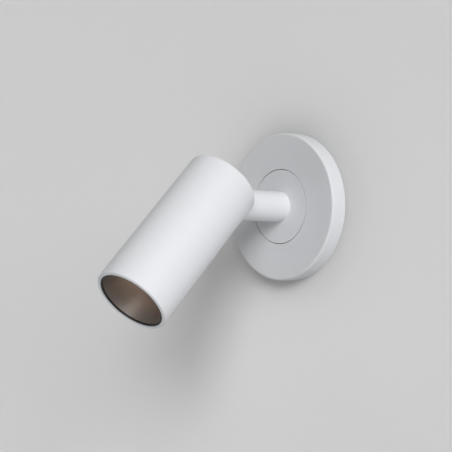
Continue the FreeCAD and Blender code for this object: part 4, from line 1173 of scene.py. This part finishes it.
def plaster(name, contact=False):
    """Pale matt backdrop: lighter for the camera than for the light, and clear from behind; with contact, its
    colour carries painted shade close round the plate.
    """
    finish = Finish(name)
    looked_at = seen(finish)
    behind = finish.node("ShaderNodeNewGeometry").outputs["Backfacing"]
    # with contact, painted shade darkens the grey that the camera sees close round the plate
    pale = SEEN_GREY - SEEN_GREY * (painted_contact_shade(finish) if contact else 0.0)
    grey = ROOM_GREY + looked_at * (pale - ROOM_GREY)
    colour = finish.result("ShaderNodeCombineColor", None, {"Red": grey, "Green": grey, "Blue": grey})
    lit = finish.node("ShaderNodeAddShader")
    finish.feed(lit.inputs[0], finish.result("ShaderNodeBsdfDiffuse", None, {"Color": colour}))
    finish.feed(lit.inputs[1], finish.result("ShaderNodeEmission", None, {
        "Strength": looked_at * SEEN_LIFT}))
    mixed = finish.node("ShaderNodeMixShader", None, {"Fac": behind})
    finish.feed(mixed.inputs[1], lit.outputs[0])
    finish.feed(mixed.inputs[2], finish.result("ShaderNodeBsdfTransparent"))
    return finish.finished(mixed.outputs[0])


def backdrop():
    """The wall behind the plate, open where the plate covers it, and a floor far below."""
    form = bmesh.new()
    steps = 64
    inner, outer = [], []
    for step in range(steps):
        angle = 2 * math.pi * (step + 0.5) / steps
        across = Vector((math.sin(angle), 0, math.cos(angle)))
        inner.append(form.verts.new(across * WALL_HOLE))
        outer.append(form.verts.new(across * WALL_HALF))
    for step in range(steps):
        follow = (step + 1) % steps
        form.faces.new([inner[step], inner[follow], outer[follow], outer[step]])
    for face in form.faces:
        face.normal_update()
        if face.normal.y > 0:
            face.normal_flip()
    mesh = bpy.data.meshes.new("wall")
    form.to_mesh(mesh)
    form.free()
    wall = bpy.data.objects.new("wall", mesh)
    mesh.materials.append(plaster("wall_plaster", contact=True))
    mesh = bpy.data.meshes.new("floor")
    near, far = -2 * WALL_HALF, WALL_HALF
    mesh.from_pydata([(-WALL_HALF, near, FLOOR_AT), (WALL_HALF, near, FLOOR_AT),
                      (WALL_HALF, far, FLOOR_AT), (-WALL_HALF, far, FLOOR_AT)], [], [(0, 1, 2, 3)])
    floor = bpy.data.objects.new("floor", mesh)
    floor.visible_shadow = False
    mesh.materials.append(plaster("floor_plaster"))
    for thing in (wall, floor):
        bpy.context.scene.collection.objects.link(thing)


# azimuth and elevation that the light comes from, its strength, and its width in degrees
LAMPS = {
    "side": (80.0, 20.0, 1.62, 35.0),
    "key": (46.0, 21.0, 1.24, 25.0),
    "low": (80.0, -60.0, 0.47, 35.0),
    "fill": (-25.0, -12.0, 0.29, 35.0),
    "front": (10.0, 2.0, 0.05, 35.0),
    "high": (-25.0, 45.0, 0.082, 35.0),
    "left": (-100.0, 8.0, 0.5, 35.0),
    "behind_left": (-130.0, 20.0, 1.7, 35.0),
    "behind": (180.0, -30.0, 1.2, 35.0),
}
ROOM_LIGHT = 0.04
ROOM_SEEN = 0.6


def lamps():
    """Broad soft studio lamps, far away."""
    for name, (azimuth, elevation, strength, width) in LAMPS.items():
        data = bpy.data.lights.new(name, "SUN")
        data.energy = strength
        data.angle = math.radians(width)
        made = bpy.data.objects.new(name, data)
        a, e = math.radians(azimuth), math.radians(elevation)
        out = Vector((math.sin(a) * math.cos(e), -math.cos(a) * math.cos(e), math.sin(e)))
        made.rotation_mode = "QUATERNION"
        made.rotation_quaternion = out.to_track_quat("Z", "Y")
        bpy.context.scene.collection.objects.link(made)


def surroundings():
    """Even light from all round, and a pale grey where the camera sees past the backdrop."""
    world = bpy.data.worlds.new("room")
    bpy.context.scene.world = world
    world.use_nodes = True
    room = Nodes(world.node_tree)
    chosen = room.node("ShaderNodeMixShader", None, {"Fac": seen(room)})
    for side, grey in ((1, ROOM_LIGHT), (2, ROOM_SEEN)):
        room.feed(chosen.inputs[side], room.result("ShaderNodeBackground", None, {
            "Color": (grey, grey, grey, 1.0)}))
    room.node("ShaderNodeOutputWorld", None, {"Surface": chosen.outputs[0]})


def build():
    """The camera, the pieces and the room; each CAD node takes the finish of its slot too."""
    camera()
    for node, slot in SLOTS.items():
        coated(frame["nodes"][node], FINISHES[slot])
    for node, (make, name) in PIECES.items():
        piece = make()
        if BODIES[node] == "head":
            moved(piece, HEAD)
        dress(piece, name, node)
    backdrop()
    lamps()
    surroundings()
    bpy.context.scene.view_settings.view_transform = "Standard"


build()
